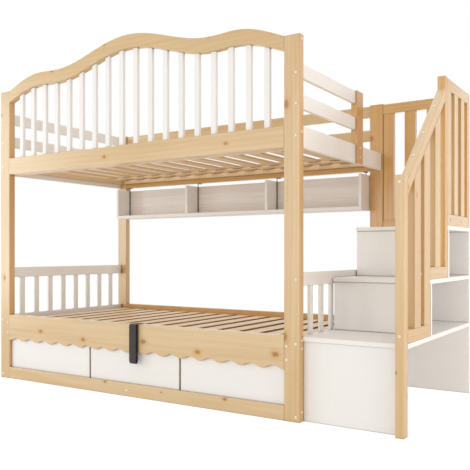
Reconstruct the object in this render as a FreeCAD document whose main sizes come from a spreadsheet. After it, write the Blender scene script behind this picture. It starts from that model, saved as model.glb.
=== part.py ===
"""Bunk bed with a lift-up storage base, a hanging rear shelf and a stair cabinet.

Millimetres, +Z up, X along the bed from the plain end to the stair end, Y from the front to the back.
Expressions count X from the plain end's outer face, Y from the front face of the posts and Z from the
floor; every piece is then moved so that the origin lies on the floor under the middle of the whole bed.
"""
import FreeCAD
import Part
import Sketcher
import os
import re
from math import atan2, cos, degrees, pi

doc = FreeCAD.newDocument("BunkBed")
sheet = doc.addObject("Spreadsheet::Sheet", "Sizes")

SIZES = [
    # Posts and general timber
    ("bed_length", 2080, "outside of the posts along the bed"),
    ("bed_width", 1096, "outside of the posts across the bed"),
    ("post_height", 1764, "front corner posts"),
    ("post_width", 80, "post section along the bed"),
    ("post_depth", 42, "post section across the bed, also the thickness of the long rails"),
    ("edge_round", 3, "rounding along the edges of the boards"),
    ("end_thickness", 22, "end rails and guard boards"),
    ("end_inset", 8, "end rails and guard boards set back from the outer post faces"),
    ("tenon", 12, "length of a spindle end let into its rail"),
    ("tenon_slack", 0.2, "room round a spindle end in its mortise"),
    # Upper bunk
    ("upper_rail_bottom", 1252, "underside of the upper side and end rails"),
    ("upper_rail_height", 100, "depth of the upper side and end rails"),
    ("guard_height", 66, "depth of a plain guard board"),
    ("guard_gap_low", 79, "from the upper rails to the lower guard boards"),
    ("guard_gap_high", 75, "between the two guard boards"),
    ("ledger_width", 25, "rear and end slat ledgers, width"),
    ("ledger_height", 25, "rear and end slat ledgers, depth"),
    ("ledger_rise", 31, "underside of the rear and end ledgers above the underside of the rails"),
    ("front_ledger_width", 46, "front slat ledger, across the bed"),
    ("batten_width", 40, "batten under the slats, across the bed"),
    ("batten_thickness", 8, "batten under the slats"),
    ("batten_inset", 176, "battens from the front and back of the bed"),
    ("upper_slat_width", 73, "upper slat"),
    ("upper_slat_thickness", 12, "upper slat"),
    ("upper_slat_pitch", 135, "upper slat spacing"),
    ("upper_slat_shift", 5, "upper slats moved towards the stairs"),
    ("slat_play", 2, "slat ends clear of the rails"),
    ("entry_start", 667, "front face of the short entry post"),
    ("entry_depth", 85, "short entry post across the bed"),
    ("entry_thickness", 33, "short entry post along the bed"),
    ("entry_proud", 3, "entry post and rear posts above the upper guard boards"),
    # Wavy guard rail on the front
    ("wave_hump_rise", 178, "middle hump above the posts"),
    ("wave_dip_rise", 72, "dips above the posts"),
    ("wave_shoulder_rise", 77, "shoulders above the posts"),
    ("wave_hump_depth", 73, "upright depth of the rail at the hump"),
    ("wave_dip_depth", 74, "upright depth of the rail at the dips"),
    ("wave_shoulder_depth", 73, "upright depth of the rail at the shoulders"),
    ("wave_end_depth", 69, "upright depth of the rail at the posts"),
    ("wave_dip_at", 550, "dips, from the middle of the bed"),
    ("wave_shoulder_at", 685, "shoulders, from the middle of the bed"),
    ("spindle_width", 30, "front guard spindle along the bed"),
    ("spindle_thickness", 20, "front guard spindle across the bed"),
    ("spindle_pitch", 101.5, "front guard spindle spacing"),
    # Lower bunk
    ("side_rail_top", 390, "top of the lower side rails"),
    ("side_rail_height", 157, "depth of the lower side rails"),
    ("scallop_rise", 17, "height of the waves along the lower front rail"),
    ("scallop_waves", 16, "waves along the lower front rail"),
    ("floor_rail_height", 68, "rails that stand on the floor"),
    ("panel_recess", 19, "front panels behind the front face of the posts"),
    ("panel_thickness", 9, "front panels"),
    ("panel_groove", 10, "front panels let into the rails"),
    ("panel_gap", 14, "open joint between front panels"),
    ("panel_slack", 0.2, "room for a front panel in its groove"),
    ("first_joint_at", 749, "middle of the first joint between front panels"),
    ("second_joint_at", 1385, "middle of the second joint between front panels"),
    ("stile_width", 60, "batten behind a panel joint"),
    ("stile_thickness", 20, "batten behind a panel joint"),
    ("head_top", 680, "top of the lower end panels"),
    ("head_top_height", 63, "top rail of a lower end panel"),
    ("head_low_top", 386, "top of the bottom rail of a lower end panel"),
    ("head_low_height", 60, "bottom rail of a lower end panel"),
    ("head_spindle_width", 36, "end panel spindle across the bed"),
    ("head_spindle_thickness", 14, "end panel spindle along the bed"),
    ("head_spindle_pitch", 114.5, "end panel spindle spacing"),
    ("head_spindle_count", 8, "spindles in one end panel"),
    # Storage box
    ("bearer_height", 45, "bearers under the storage floor"),
    ("bearer_width", 60, "bearers under the storage floor"),
    ("sheet_thickness", 9, "plywood of the storage box"),
    ("box_side_top", 350, "top of the storage box ends"),
    ("box_back_top", 290, "top of the storage box back"),
    # Lift-up slatted base
    ("base_top", 359, "top of the lower slats"),
    ("lower_slat_thickness", 15, "lower slat"),
    ("lower_slat_width", 86, "lower slat"),
    ("lower_slat_pitch", 129.5, "lower slat spacing"),
    ("lower_slat_shift", -28, "lower slats moved away from the stairs"),
    ("base_rail_height", 44, "rails of the lifting frame"),
    ("base_rail_width", 46, "front, middle and rear rails of the lifting frame"),
    ("base_end_width", 30, "end rails of the lifting frame"),
    ("base_end_gap", 40, "from the lower end panels to the lifting frame"),
    ("base_front_gap", 4, "from the front rail to the lifting frame"),
    ("base_back_gap", 8, "from the rear rail to the lifting frame"),
    ("slat_front_gap", 14, "slats behind the front edge of the lifting frame"),
    ("rest_gap", 0.3, "lifting frame above its cleat"),
    ("cleat_width", 20, "cleat under the front of the lifting frame"),
    ("cleat_height", 30, "cleat under the front of the lifting frame"),
    # Hinges of the lifting frame
    ("hinge_drop", 7, "hinge axis below the top of the slats"),
    ("hinge_from_rail", 5, "hinge axis in front of the rear rail"),
    ("knuckle_radius", 4.5, "hinge knuckle"),
    ("pin_radius", 2.5, "hinge pin"),
    ("pin_clearance", 0.05, "hinge pin in its knuckles"),
    ("leaf_thickness", 2, "hinge leaf"),
    ("leaf_drop", 48, "hinge leaf below the axis"),
    ("leaf_relief", 7, "hinge leaf cut back below the other leaf's knuckles"),
    ("knuckle_length", 26, "one hinge knuckle"),
    ("knuckle_play", 0.4, "between hinge knuckles"),
    ("hinge_spread", 740, "outer hinges from the middle one"),
    # Gas struts
    ("strut_back", 10, "lower strut pivot in front of the hinge axis"),
    ("strut_drop", 42, "lower strut pivot below the hinge axis"),
    ("strut_length", 461, "between the strut pivots with the base down"),
    ("strut_aside", 18, "strut axis from the storage box end"),
    ("strut_tube_radius", 9, "strut cylinder"),
    ("strut_tube_length", 300, "strut cylinder"),
    ("strut_rod_radius", 4, "strut rod"),
    ("strut_rod_clearance", 0.05, "strut rod in its cylinder"),
    ("strut_rod_inside", 150, "strut rod inside its cylinder with the base down"),
    ("strut_bore_spare", 10, "strut bore beyond the end of the rod"),
    ("strut_eye_radius", 9.5, "strut eyes"),
    ("strut_eye_width", 10, "strut eyes along their pins"),
    ("strut_neck", 16, "from the lower strut pivot to the cylinder"),
    ("strut_pin_radius", 3, "strut pins"),
    ("strut_open_slack", 3, "room round the upper strut pin"),
    ("strut_plate", 28, "strut pin plates"),
    ("strut_plate_thickness", 3, "strut pin plates"),
    # Lift strap
    ("strap_at", 1100, "middle of the strap along the bed"),
    ("strap_width", 46, "webbing"),
    ("strap_thickness", 2.5, "webbing"),
    ("strap_loop_depth", 20, "hanging loop across the bed"),
    ("strap_loop_bottom", 182, "lowest point of the hanging loop"),
    ("strap_stand_off", 2, "hanging loop in front of the rail"),
    ("strap_over", 0.5, "webbing above the top of the rail"),
    ("staple_radius", 3, "steel staple that holds the webbing"),
    ("staple_rise", 8, "staple above the lifting frame"),
    ("staple_clearance", 0.3, "webbing round the staple"),
    ("staple_spread", 60, "between the legs of the staple"),
    # Hanging shelf
    ("shelf_clear", 8, "shelf ends from the rear posts"),
    ("shelf_setback", 153, "front edge of the shelf from the back of the bed"),
    ("shelf_depth", 137, "bottom board of the shelf"),
    ("shelf_bottom", 1019, "underside of the shelf"),
    ("shelf_floor_thickness", 22, "bottom board of the shelf"),
    ("shelf_board", 18, "shelf ends and dividers"),
    ("shelf_height", 189, "shelf ends and dividers"),
    ("shelf_back_thickness", 10, "back boards of the shelf"),
    ("shelf_groove_low", 62, "first groove of the back above the bottom board"),
    ("shelf_groove_high", 139, "second groove of the back above the bottom board"),
    ("shelf_groove", 1.5, "open groove between back boards"),
    ("hanger_thickness", 3, "steel hanger"),
    ("hanger_width", 6, "steel hanger across the bed"),
    ("hanger_foot", 18, "hanger foot under the rail"),
    # Stair cabinet
    ("stair_width", 483, "from the bed posts to the outside of the railing"),
    ("stair_board", 18, "risers, sides and back of the stair cabinet"),
    ("tread_thickness", 20, "treads"),
    ("nosing", 12, "treads in front of their risers"),
    ("first_tread_top", 387, "first tread"),
    ("stair_rise", 259.5, "from one tread to the next"),
    ("first_riser_front", 40, "front face of the first riser"),
    ("second_riser_front", 375, "front face of the second riser"),
    ("third_riser_front", 668, "front face of the third riser"),
    # Stair railing
    ("railing_thickness", 38, "railing members along the bed"),
    ("newel_depth", 50, "front post of the stairs across the bed"),
    ("newel_height", 1094, "front post of the stairs"),
    ("handrail_below_newel", 19, "sloping rail below the top of the front post"),
    ("handrail_below_top", 61, "sloping rail below the top of the peak post"),
    ("handrail_drop", 65, "upright depth of the sloping rail"),
    ("foot_rail_height", 56, "rails that stand on the treads"),
    ("top_rail_height", 56, "level top rails of the railing"),
    ("railing_top", 1638, "top of the level railing"),
    ("peak_depth", 45, "peak post across the bed"),
    ("corner_depth", 53, "rear corner post across the bed"),
    ("lower_slat_start", 144, "first slat under the sloping rail"),
    ("lower_slat_depth", 84, "slats under the sloping rail"),
    ("middle_slat_start", 448, "slat over the second tread"),
    ("landing_slat_depth", 68, "slats of the level railing"),
    ("guard_slat_width", 62, "slats of the rear stair guard"),
    ("slat_inset", 2, "railing slats thinner than the rails, each side of the inner face"),
    # Fasteners
    ("bolt_radius", 3.5, "connecting bolts"),
    ("bolt_clearance", 0.1, "connecting bolts in their holes"),
    ("bolt_reach", 50, "connecting bolts inside the rails"),
    ("bolt_head_radius", 6, "bolt heads"),
    ("bolt_head_height", 5, "bolt heads, let in flush"),
    ("cap_radius", 7, "cover caps"),
    ("cap_height", 1.5, "cover caps"),
    ("screw_reach", 16, "screws of the entry post inside the end rail"),
    ("lock_depth", 15, "rail locks let into the fronts of the posts"),
    ("lock_inset", 13, "rail locks from the inner edges of the posts"),
]

for row, (alias, number, note) in enumerate(SIZES, start=1):
    sheet.set(f"A{row}", note)
    sheet.set(f"B{row}", str(number))
    sheet.setAlias(f"B{row}", alias)
doc.recompute()

# Places that many pieces share, as expressions of the sheet's sizes
HALF = "bed_length / 2"
RAIL_START = "post_width"
RAIL_LENGTH = "(bed_length - 2 * post_width)"
WAVE_END = "(post_height - wave_end_depth)"
BACK = "(bed_width - post_depth)"
CROSS_LENGTH = "(bed_width - 2 * post_depth)"
LEFT_END = "end_inset"
RIGHT_END = "(bed_length - end_inset - end_thickness)"
LEFT_INSIDE = "(end_inset + end_thickness)"
UPPER_RAIL_TOP = "(upper_rail_bottom + upper_rail_height)"
LOW_GUARD = f"({UPPER_RAIL_TOP} + guard_gap_low)"
HIGH_GUARD = f"({LOW_GUARD} + guard_height + guard_gap_high)"
REAR_POST_TOP = f"({HIGH_GUARD} + guard_height + entry_proud)"
LEDGER_BOTTOM = "(upper_rail_bottom + ledger_rise)"
UPPER_SLAT_BOTTOM = f"({LEDGER_BOTTOM} + ledger_height)"
SIDE_RAIL_BOTTOM = "(side_rail_top - side_rail_height)"
SPINDLE_FRONT = "(post_depth - spindle_thickness) / 2"
HEAD_LOW_BOTTOM = "(head_low_top - head_low_height)"
HEAD_TOP_BOTTOM = "(head_top - head_top_height)"
BOX_FLOOR = "bearer_height"
BASE_LEFT = f"({LEFT_INSIDE} + base_end_gap)"
BASE_LENGTH = f"(bed_length - 2 * {BASE_LEFT})"
BASE_FRONT = "(post_depth + base_front_gap)"
BASE_REAR = f"({BACK} - base_back_gap)"
BASE_RAIL_TOP = "(base_top - lower_slat_thickness)"
BASE_BOTTOM = f"({BASE_RAIL_TOP} - base_rail_height)"
HINGE_Y = f"({BACK} - hinge_from_rail)"
HINGE_Z = "(base_top - hinge_drop)"
STRUT_REAR = f"({HINGE_Y} - strut_back)"
STRUT_FRONT = f"({STRUT_REAR} - strut_length)"
STRUT_Z = f"({HINGE_Z} - strut_drop)"
BOX_SIDE = f"({LEFT_INSIDE} + sheet_thickness)"
STAPLE_Y = f"({BASE_FRONT} + staple_radius + strap_thickness)"
STAPLE_Z = f"({BASE_RAIL_TOP} + staple_rise)"
SHELF_TOP_OF_FLOOR = "(shelf_bottom + shelf_floor_thickness)"
SHELF_LEFT = "(post_width + shelf_clear)"
SHELF_LENGTH = f"(bed_length - 2 * {SHELF_LEFT})"
SHELF_FRONT = "(bed_width - shelf_setback)"
SHELF_BACK = f"({SHELF_FRONT} + shelf_depth - shelf_back_thickness)"
STAIR_OUT = "(bed_length + stair_width)"
RAILING = f"({STAIR_OUT} - railing_thickness)"
SECOND_TREAD_TOP = "(first_tread_top + stair_rise)"
THIRD_TREAD_TOP = "(first_tread_top + 2 * stair_rise)"
CABINET_BACK = "(bed_width - stair_board)"
SECOND_EDGE = "(second_riser_front - nosing)"
THIRD_EDGE = "(third_riser_front - nosing)"
PEAK_FRONT = f"({THIRD_EDGE} - peak_depth)"
HANDRAIL_LOW = "(newel_height - handrail_below_newel)"
HANDRAIL_HIGH = "(railing_top - handrail_below_top)"
HANDRAIL_RUN = f"({PEAK_FRONT} - newel_depth)"
HANDRAIL_CLIMB = f"({HANDRAIL_HIGH} - {HANDRAIL_LOW})"
SECOND_SLAT_START = f"({SECOND_EDGE} - lower_slat_depth)"
CORNER_FRONT = "(bed_width - corner_depth)"
GUARD_BACK = "(bed_width - railing_thickness)"
LOOP_FRONT = "(strap_stand_off + strap_loop_depth)"
ORIGIN_X = f"(({STAIR_OUT} - cap_height) / 2)"
ORIGIN_Y = f"((bed_width + cap_height - {LOOP_FRONT}) / 2)"

TURN_X = FreeCAD.Rotation(FreeCAD.Vector(0, 1, 0), 90)
TURN_BACK_X = FreeCAD.Rotation(FreeCAD.Vector(0, 1, 0), -90)
TURN_Y = FreeCAD.Rotation(FreeCAD.Vector(1, 0, 0), -90)
TURN_BACK_Y = FreeCAD.Rotation(FreeCAD.Vector(1, 0, 0), 90)
UPRIGHT = FreeCAD.Rotation()

nodes = {}
holes = {}


def cells(text):
    """An expression with every alias turned into a reference to the sheet."""
    return re.sub(r"[a-z][a-z_]*", lambda word: f"{sheet.Name}.{word.group()}", text)


def size(alias):
    """The number in a cell of the sheet."""
    return float(sheet.get(alias))


def number(text):
    """The value of an expression of aliases."""
    probe = sheet.evalExpression(cells(text))
    return float(getattr(probe, "Value", probe))


def bind(item, prop, text):
    item.setExpression(prop, cells(text))


def seat(item, x, y, z):
    """Put a piece's corner or axis at a place counted from the plain end, the front and the floor."""
    bind(item, "Placement.Base.x", f"{x} - {ORIGIN_X}")
    bind(item, "Placement.Base.y", f"{y} - {ORIGIN_Y}")
    bind(item, "Placement.Base.z", z)
    return item


def block(name, x, y, z, length, width, height):
    item = doc.addObject("Part::Box", name)
    bind(item, "Length", length)
    bind(item, "Width", width)
    bind(item, "Height", height)
    return seat(item, x, y, z)


def rod(name, turn, x, y, z, radius, length):
    item = doc.addObject("Part::Cylinder", name)
    bind(item, "Radius", radius)
    bind(item, "Height", length)
    item.Placement = FreeCAD.Placement(FreeCAD.Vector(), turn)
    return seat(item, x, y, z)


def joined(name, items):
    item = doc.addObject("Part::MultiFuse", name)
    item.Shapes = items
    item.Refine = True
    return item


def together(name, items):
    """Separate solids kept in one piece of the document."""
    item = doc.addObject("Part::Compound", name)
    item.Links = items
    return item


def less(name, base, tools):
    item = doc.addObject("Part::Cut", name)
    item.Base = base
    item.Tool = tools[0] if len(tools) == 1 else together(name + "_tools", tools)
    return item


def eased(name, base, along):
    """A board with its long edges rounded, those that run along the given axis."""
    base.recompute()
    picked = []
    for index, edge in enumerate(base.Shape.Edges, start=1):
        if edge.Curve.TypeId != "Part::GeomLine":
            continue
        way = edge.tangentAt(edge.FirstParameter)
        if abs(way.dot(along)) > 0.999:
            picked.append((index, size("edge_round"), size("edge_round")))
    item = doc.addObject("Part::Fillet", name)
    item.Base = base
    item.Edges = picked
    return item


def eased_outline(name, base):
    """A curved board with the long edges of its two faces rounded."""
    longest = max(edge.Length for edge in base.Shape.Edges)
    item = doc.addObject("Part::Fillet", name)
    item.Base = base
    item.Edges = [(index, size("edge_round"), size("edge_round"))
                  for index, edge in enumerate(base.Shape.Edges, start=1) if edge.Length > 0.9 * longest]
    return item


ALONG = {"x": FreeCAD.Vector(1, 0, 0), "y": FreeCAD.Vector(0, 1, 0), "z": FreeCAD.Vector(0, 0, 1)}


def board(name, grain, x, y, z, length, width, height):
    """A board with rounded long edges, drilled for the bolts that are listed for it."""
    plain = block(name + "_blank", x, y, z, length, width, height)
    return drilled(name, eased(name + "_eased", plain, ALONG[grain]))


def drilled(name, item):
    return less(name, item, holes[name]) if name in holes else item


def node(label, items):
    """Name a piece, or a group of like pieces, as one sub-part of the bed."""
    item = items if not isinstance(items, list) else together(label, items)
    item.Label = label
    nodes[label] = item
    return item


def sketch_on(body, plane):
    sketch = body.newObject("Sketcher::SketchObject", body.Name + "_outline")
    support = [feature for feature in body.Origin.OriginFeatures if feature.Role == plane][0]
    sketch.AttachmentSupport = [(support, "")]
    sketch.MapMode = "FlatFace"
    return sketch


def pad(body, sketch, thickness):
    """Thicken an outline towards +X, +Y or +Z."""
    item = body.newObject("PartDesign::Pad", body.Name + "_pad")
    item.Profile = sketch
    bind(item, "Length", thickness)
    item.Reversed = sketch.AttachmentSupport[0][0].Role == "XZ_Plane"
    body.Tip = item
    return item


def polygon_piece(name, plane, corners, thickness, x, y, z):
    """A body whose outline has straight sides; two sizes from its own origin hold each corner."""
    body = doc.addObject("PartDesign::Body", name)
    sketch = sketch_on(body, plane)
    points = [FreeCAD.Vector(number(u), number(v), 0) for u, v in corners]
    count = len(points)
    for i in range(count):
        sketch.addGeometry(Part.LineSegment(points[i], points[(i + 1) % count]), False)
    for i in range(count):
        sketch.addConstraint(Sketcher.Constraint("Coincident", i, 2, (i + 1) % count, 1))
    for i, (u, v) in enumerate(corners):
        for kind, text, axis in (("DistanceX", u, -2), ("DistanceY", v, -1)):
            if text == "0":
                sketch.addConstraint(Sketcher.Constraint("PointOnObject", i, 1, axis))
                continue
            index = sketch.addConstraint(Sketcher.Constraint(kind, -1, 1, i, 1, number(text)))
            sketch.setExpression(f"Constraints[{index}]", cells(text))
    pad(body, sketch, thickness)
    seat(body, x, y, z)
    doc.recompute()
    return body


def curved_piece(name, plane, curves, thickness, x, y, z):
    """A body whose outline is a closed chain of curves."""
    body = doc.addObject("PartDesign::Body", name)
    sketch = sketch_on(body, plane)
    sketch.addGeometry(curves, False)
    pad(body, sketch, thickness)
    seat(body, x, y, z)
    doc.recompute()
    return body


def line(a, b):
    return Part.LineSegment(FreeCAD.Vector(*a, 0), FreeCAD.Vector(*b, 0))


def smooth(points):
    curve = Part.BSplineCurve()
    curve.interpolate([FreeCAD.Vector(u, v, 0) for u, v in points])
    return curve


bolts = []
caps = []


def bolt(name, turn, sign, x, y, z, through, reach, pieces, capped=True):
    """A bolt with a flush head and a cover cap, and its stepped hole in every piece that it passes.

    The two turns point along the bolt's line, sign says which of them it is driven, through is the piece
    under its head and reach is how far it goes into the next one. A head that the stairs cover has no cap.
    """
    inwards = {1: turn[0], -1: turn[1]}[sign]
    outwards = {1: turn[1], -1: turn[0]}[sign]
    head = rod(name + "_head", inwards, x, y, z, "bolt_head_radius", "bolt_head_height")
    shank = rod(name + "_shank", inwards, x, y, z, "bolt_radius", f"{through} + {reach}")
    bolts.append(joined(name, [head, shank]))
    if capped:
        caps.append(rod(name + "_cap", outwards, x, y, z, "cap_radius", "cap_height"))
    sink = rod(name + "_sink", inwards, x, y, z, "bolt_head_radius + bolt_clearance", "bolt_head_height")
    bore = rod(name + "_bore", inwards, x, y, z, "bolt_radius + bolt_clearance", f"{through} + {reach}")
    hole = joined(name + "_hole", [sink, bore])
    for piece in pieces:
        holes.setdefault(piece, []).append(hole)


ALONG_BED = (TURN_X, TURN_BACK_X)
ACROSS_BED = (TURN_Y, TURN_BACK_Y)
FRONT_MIDDLE = "post_depth / 2"
BACK_MIDDLE = "(bed_width - post_depth / 2)"
GUARD_MIDDLE = "(bed_width - end_inset - end_thickness / 2)"
END_MIDDLE = {"left": "(end_inset + end_thickness / 2)",
              "right": "(bed_length - end_inset - end_thickness / 2)"}
RAILING_MIDDLE = f"({RAILING} + railing_thickness / 2)"

# Heights of the bolts as shares of the depth of their rails; bolts that cross in a post pass each other
ALONG_SHARE = 0.7
ACROSS_SHARE = 0.5
GUARD_SHARE = 0.27
FLOOR_SHARES = (0.65, 0.35)
SIDE_SHARES = (0.64, 0.87)
LOCK_SHARES = (0.3, 0.7)
ENTRY_SHARES = (0.35, 0.85)
BEARER_SHARE = 0.73
BEARERS = 5


def bolts_along_bed(rail, row, y, z):
    """One bolt at each end of a rail that runs along the bed, driven through the posts."""
    bolt(f"{rail}_left_bolt", ALONG_BED, 1, "0", y, z, "post_width", "bolt_reach", [f"{row}_left_post",
                                                                                    rail])
    bolt(f"{rail}_right_bolt", ALONG_BED, -1, "bed_length", y, z, "post_width", "bolt_reach",
         [f"{row}_right_post", rail], capped=row == "front")


def bolts_across_bed(rail, side, z):
    """One bolt at each end of a rail that runs across the bed, driven through the posts."""
    x = END_MIDDLE[side]
    bolt(f"{rail}_front_bolt", ACROSS_BED, 1, x, "0", z, "post_depth", "bolt_reach", [f"front_{side}_post",
                                                                                      rail])
    bolt(f"{rail}_rear_bolt", ACROSS_BED, -1, x, "bed_width", z, "post_depth", "bolt_reach",
         [f"rear_{side}_post", rail])


def list_bolts():
    """Every bolt of the bed, before the timber that it goes through is made."""
    list_frame_bolts()
    list_end_bolts()
    list_stair_bolts()


def list_frame_bolts():
    """Bolts of the rails that run along the bed, and the rail locks in the fronts of the posts."""
    upper = f"upper_rail_bottom + {ALONG_SHARE} * upper_rail_height"
    floor = f"{FLOOR_SHARES[0]} * floor_rail_height"
    wave = f"{WAVE_END} + {ALONG_SHARE} * wave_end_depth"
    bolts_along_bed("wavy_top_rail", "front", FRONT_MIDDLE, wave)
    bolts_along_bed("upper_front_rail", "front", FRONT_MIDDLE, upper)
    bolts_along_bed("upper_rear_rail", "rear", BACK_MIDDLE, upper)
    bolts_along_bed("front_floor_rail", "front", FRONT_MIDDLE, floor)
    bolts_along_bed("rear_floor_rail", "rear", BACK_MIDDLE, floor)
    bolts_along_bed("rear_guard_low", "rear", GUARD_MIDDLE, f"{LOW_GUARD} + {ALONG_SHARE} * guard_height")
    bolts_along_bed("rear_guard_high", "rear", GUARD_MIDDLE, f"{HIGH_GUARD} + {ALONG_SHARE} * guard_height")
    for rail, row, y in (("lower_front_rail", "front", FRONT_MIDDLE), ("lower_rear_rail", "rear",
                                                                       BACK_MIDDLE)):
        for share in SIDE_SHARES:
            bolts_along_bed(rail, row, y, f"{SIDE_RAIL_BOTTOM} + {share} * side_rail_height")
    for side, x in (("left", "(post_width - lock_inset)"), ("right",
                                                            "(bed_length - post_width + lock_inset)")):
        for share in LOCK_SHARES:
            z = f"{SIDE_RAIL_BOTTOM} + {share} * side_rail_height"
            bolt(f"{side}_lock_{round(10 * share)}", ACROSS_BED, 1, x, "0", z, "0", "lock_depth",
                 [f"front_{side}_post"])
    bearer = f"storage_bearer_{BEARERS // 2}"
    for row, sign, y in (("front", 1, "0"), ("rear", -1, "bed_width")):
        bolt(f"{row}_bearer_bolt", ACROSS_BED, sign, HALF, y, f"{BEARER_SHARE} * bearer_height",
             "post_depth",
             "bolt_reach", [f"{row}_floor_rail", bearer])


def list_end_bolts():
    """Bolts of the rails and boards at both ends of the bed, and of the short entry post."""
    for side in ("left", "right"):
        bolts_across_bed(f"{side}_end_rail", side,
                         f"upper_rail_bottom + {ACROSS_SHARE} * upper_rail_height")
        bolts_across_bed(f"{side}_head_top", side, f"{HEAD_TOP_BOTTOM} + {ACROSS_SHARE} * head_top_height")
        bolts_across_bed(f"{side}_head_low", side, f"{HEAD_LOW_BOTTOM} + {ACROSS_SHARE} * head_low_height")
        bolts_across_bed(f"{side}_floor_rail", side, f"{FLOOR_SHARES[1]} * floor_rail_height")
    for level, bottom in (("low", LOW_GUARD), ("high", HIGH_GUARD)):
        z = f"{bottom} + {GUARD_SHARE} * guard_height"
        bolts_across_bed(f"left_guard_{level}", "left", z)
        guard = f"right_guard_{level}"
        bolt(f"{guard}_front_bolt", ACROSS_BED, 1, END_MIDDLE["right"], "0", z, "post_depth", "bolt_reach",
             ["front_right_post", guard])
        bolt(f"{guard}_entry_bolt", ACROSS_BED, -1, END_MIDDLE["right"], "entry_start + entry_depth", z,
             "entry_depth", "bolt_reach", ["entry_post", guard])
    for share in ENTRY_SHARES:
        bolt(f"entry_screw_{round(100 * share)}", ALONG_BED, -1, "bed_length",
             "entry_start + entry_depth / 2",
             f"upper_rail_bottom + {share} * upper_rail_height", "end_inset", "screw_reach",
             ["entry_post", "right_end_rail"])


def list_stair_bolts():
    """Bolts of the stair railing: through its front post, its sloping rail and one slat."""
    foot = f"first_tread_top + {FLOOR_SHARES[0]} * foot_rail_height"
    head = f"{HANDRAIL_LOW} - handrail_drop / 6"
    for name, z, rail in (("newel_foot_bolt", foot, "lower_foot_rail"), ("newel_head_bolt", head,
                                                                         "sloping_handrail")):
        bolt(name, ACROSS_BED, 1, RAILING_MIDDLE, "0", z, "newel_depth", "bolt_reach", ["stair_newel",
                                                                                        rail])
    bolt("middle_rail_bolt", ACROSS_BED, 1, RAILING_MIDDLE, SECOND_SLAT_START,
         f"{SECOND_TREAD_TOP} + foot_rail_height / 2", "lower_slat_depth", "bolt_reach",
         ["lower_slat_back", "middle_foot_rail"])
    slope = atan2(number(HANDRAIL_CLIMB), number(HANDRAIL_RUN))
    across = FreeCAD.Vector(1, 0, 0)
    turns = (FreeCAD.Rotation(across, degrees(slope) + 180), FreeCAD.Rotation(across, degrees(slope)))
    depth = f"(handrail_drop * {cos(slope)})"
    for name, start in (("lower_slat_front", "lower_slat_start"), ("lower_slat_back", SECOND_SLAT_START),
                        ("middle_slat", "middle_slat_start")):
        y = f"({start} + lower_slat_depth / 2)"
        bolt(f"{name}_bolt", turns, 1, RAILING_MIDDLE, y, handrail_height(y), depth, "bolt_reach",
             ["sloping_handrail", name])


def make_posts():
    """Front posts that carry the wavy rail, and shorter rear posts that end just above the guard boards."""
    for row, y, height in (("front", "0", "post_height"), ("rear", BACK, REAR_POST_TOP)):
        for side, x in (("left", "0"), ("right", "(bed_length - post_width)")):
            name = f"{row}_{side}_post"
            node(name, board(name, "z", x, y, "0", "post_width", "post_depth", height))


def make_entry_post():
    """The short post beside the stair entrance, rebated so that the end rail runs past its inner side."""
    rebate = "(entry_thickness - end_inset)"
    top = f"({REAR_POST_TOP} - upper_rail_bottom)"
    corners = [(rebate, "0"), ("entry_thickness", "0"), ("entry_thickness", top), ("0", top),
               ("0", "upper_rail_height"), (rebate, "upper_rail_height")]
    blank = polygon_piece("entry_blank", "XZ_Plane", corners, "entry_depth",
                          "(bed_length - entry_thickness)", "entry_start", "upper_rail_bottom")
    node("entry_post", drilled("entry_post", blank))


def spindle_places(count, pitch, middle):
    """Middles of a row of like pieces, spread evenly about a middle."""
    return [f"({middle} + {i - (count - 1) / 2} * {pitch})" for i in range(count)]


def wave_edge(centre, dip, shoulder, end):
    """One edge of the wavy rail: cosine stretches between hump, dip, shoulder and post."""
    half = number(RAIL_LENGTH) / 2
    dip_at = size("wave_dip_at")
    shoulder_at = size("wave_shoulder_at")

    def height(u):
        d = abs(u - half)
        if d <= dip_at:
            return dip + (centre - dip) * (1 + cos(pi * d / dip_at)) / 2
        if d <= shoulder_at:
            return dip + (shoulder - dip) * (1 - cos(pi * (d - dip_at) / (shoulder_at - dip_at))) / 2
        return shoulder - (shoulder - end) * (1 - cos(pi / 2 * (d - shoulder_at) / (half - shoulder_at)))

    return height


def wave_heights():
    """Upper and lower edge of the wavy rail above its lowest ends."""
    end = size("wave_end_depth")
    places = ("hump", "dip", "shoulder")
    rises = [end + size(f"wave_{place}_rise") for place in places]
    undersides = [rise - size(f"wave_{place}_depth") for rise, place in zip(rises, places)]
    return wave_edge(*rises, end), wave_edge(*undersides, 0)


def front_guard_spindles():
    """Places of the front guard spindles: as many as fit between the posts at their pitch."""
    count = int((number(RAIL_LENGTH) - size("spindle_width")) / size("spindle_pitch"))
    return spindle_places(count, "spindle_pitch", HALF)


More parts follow.
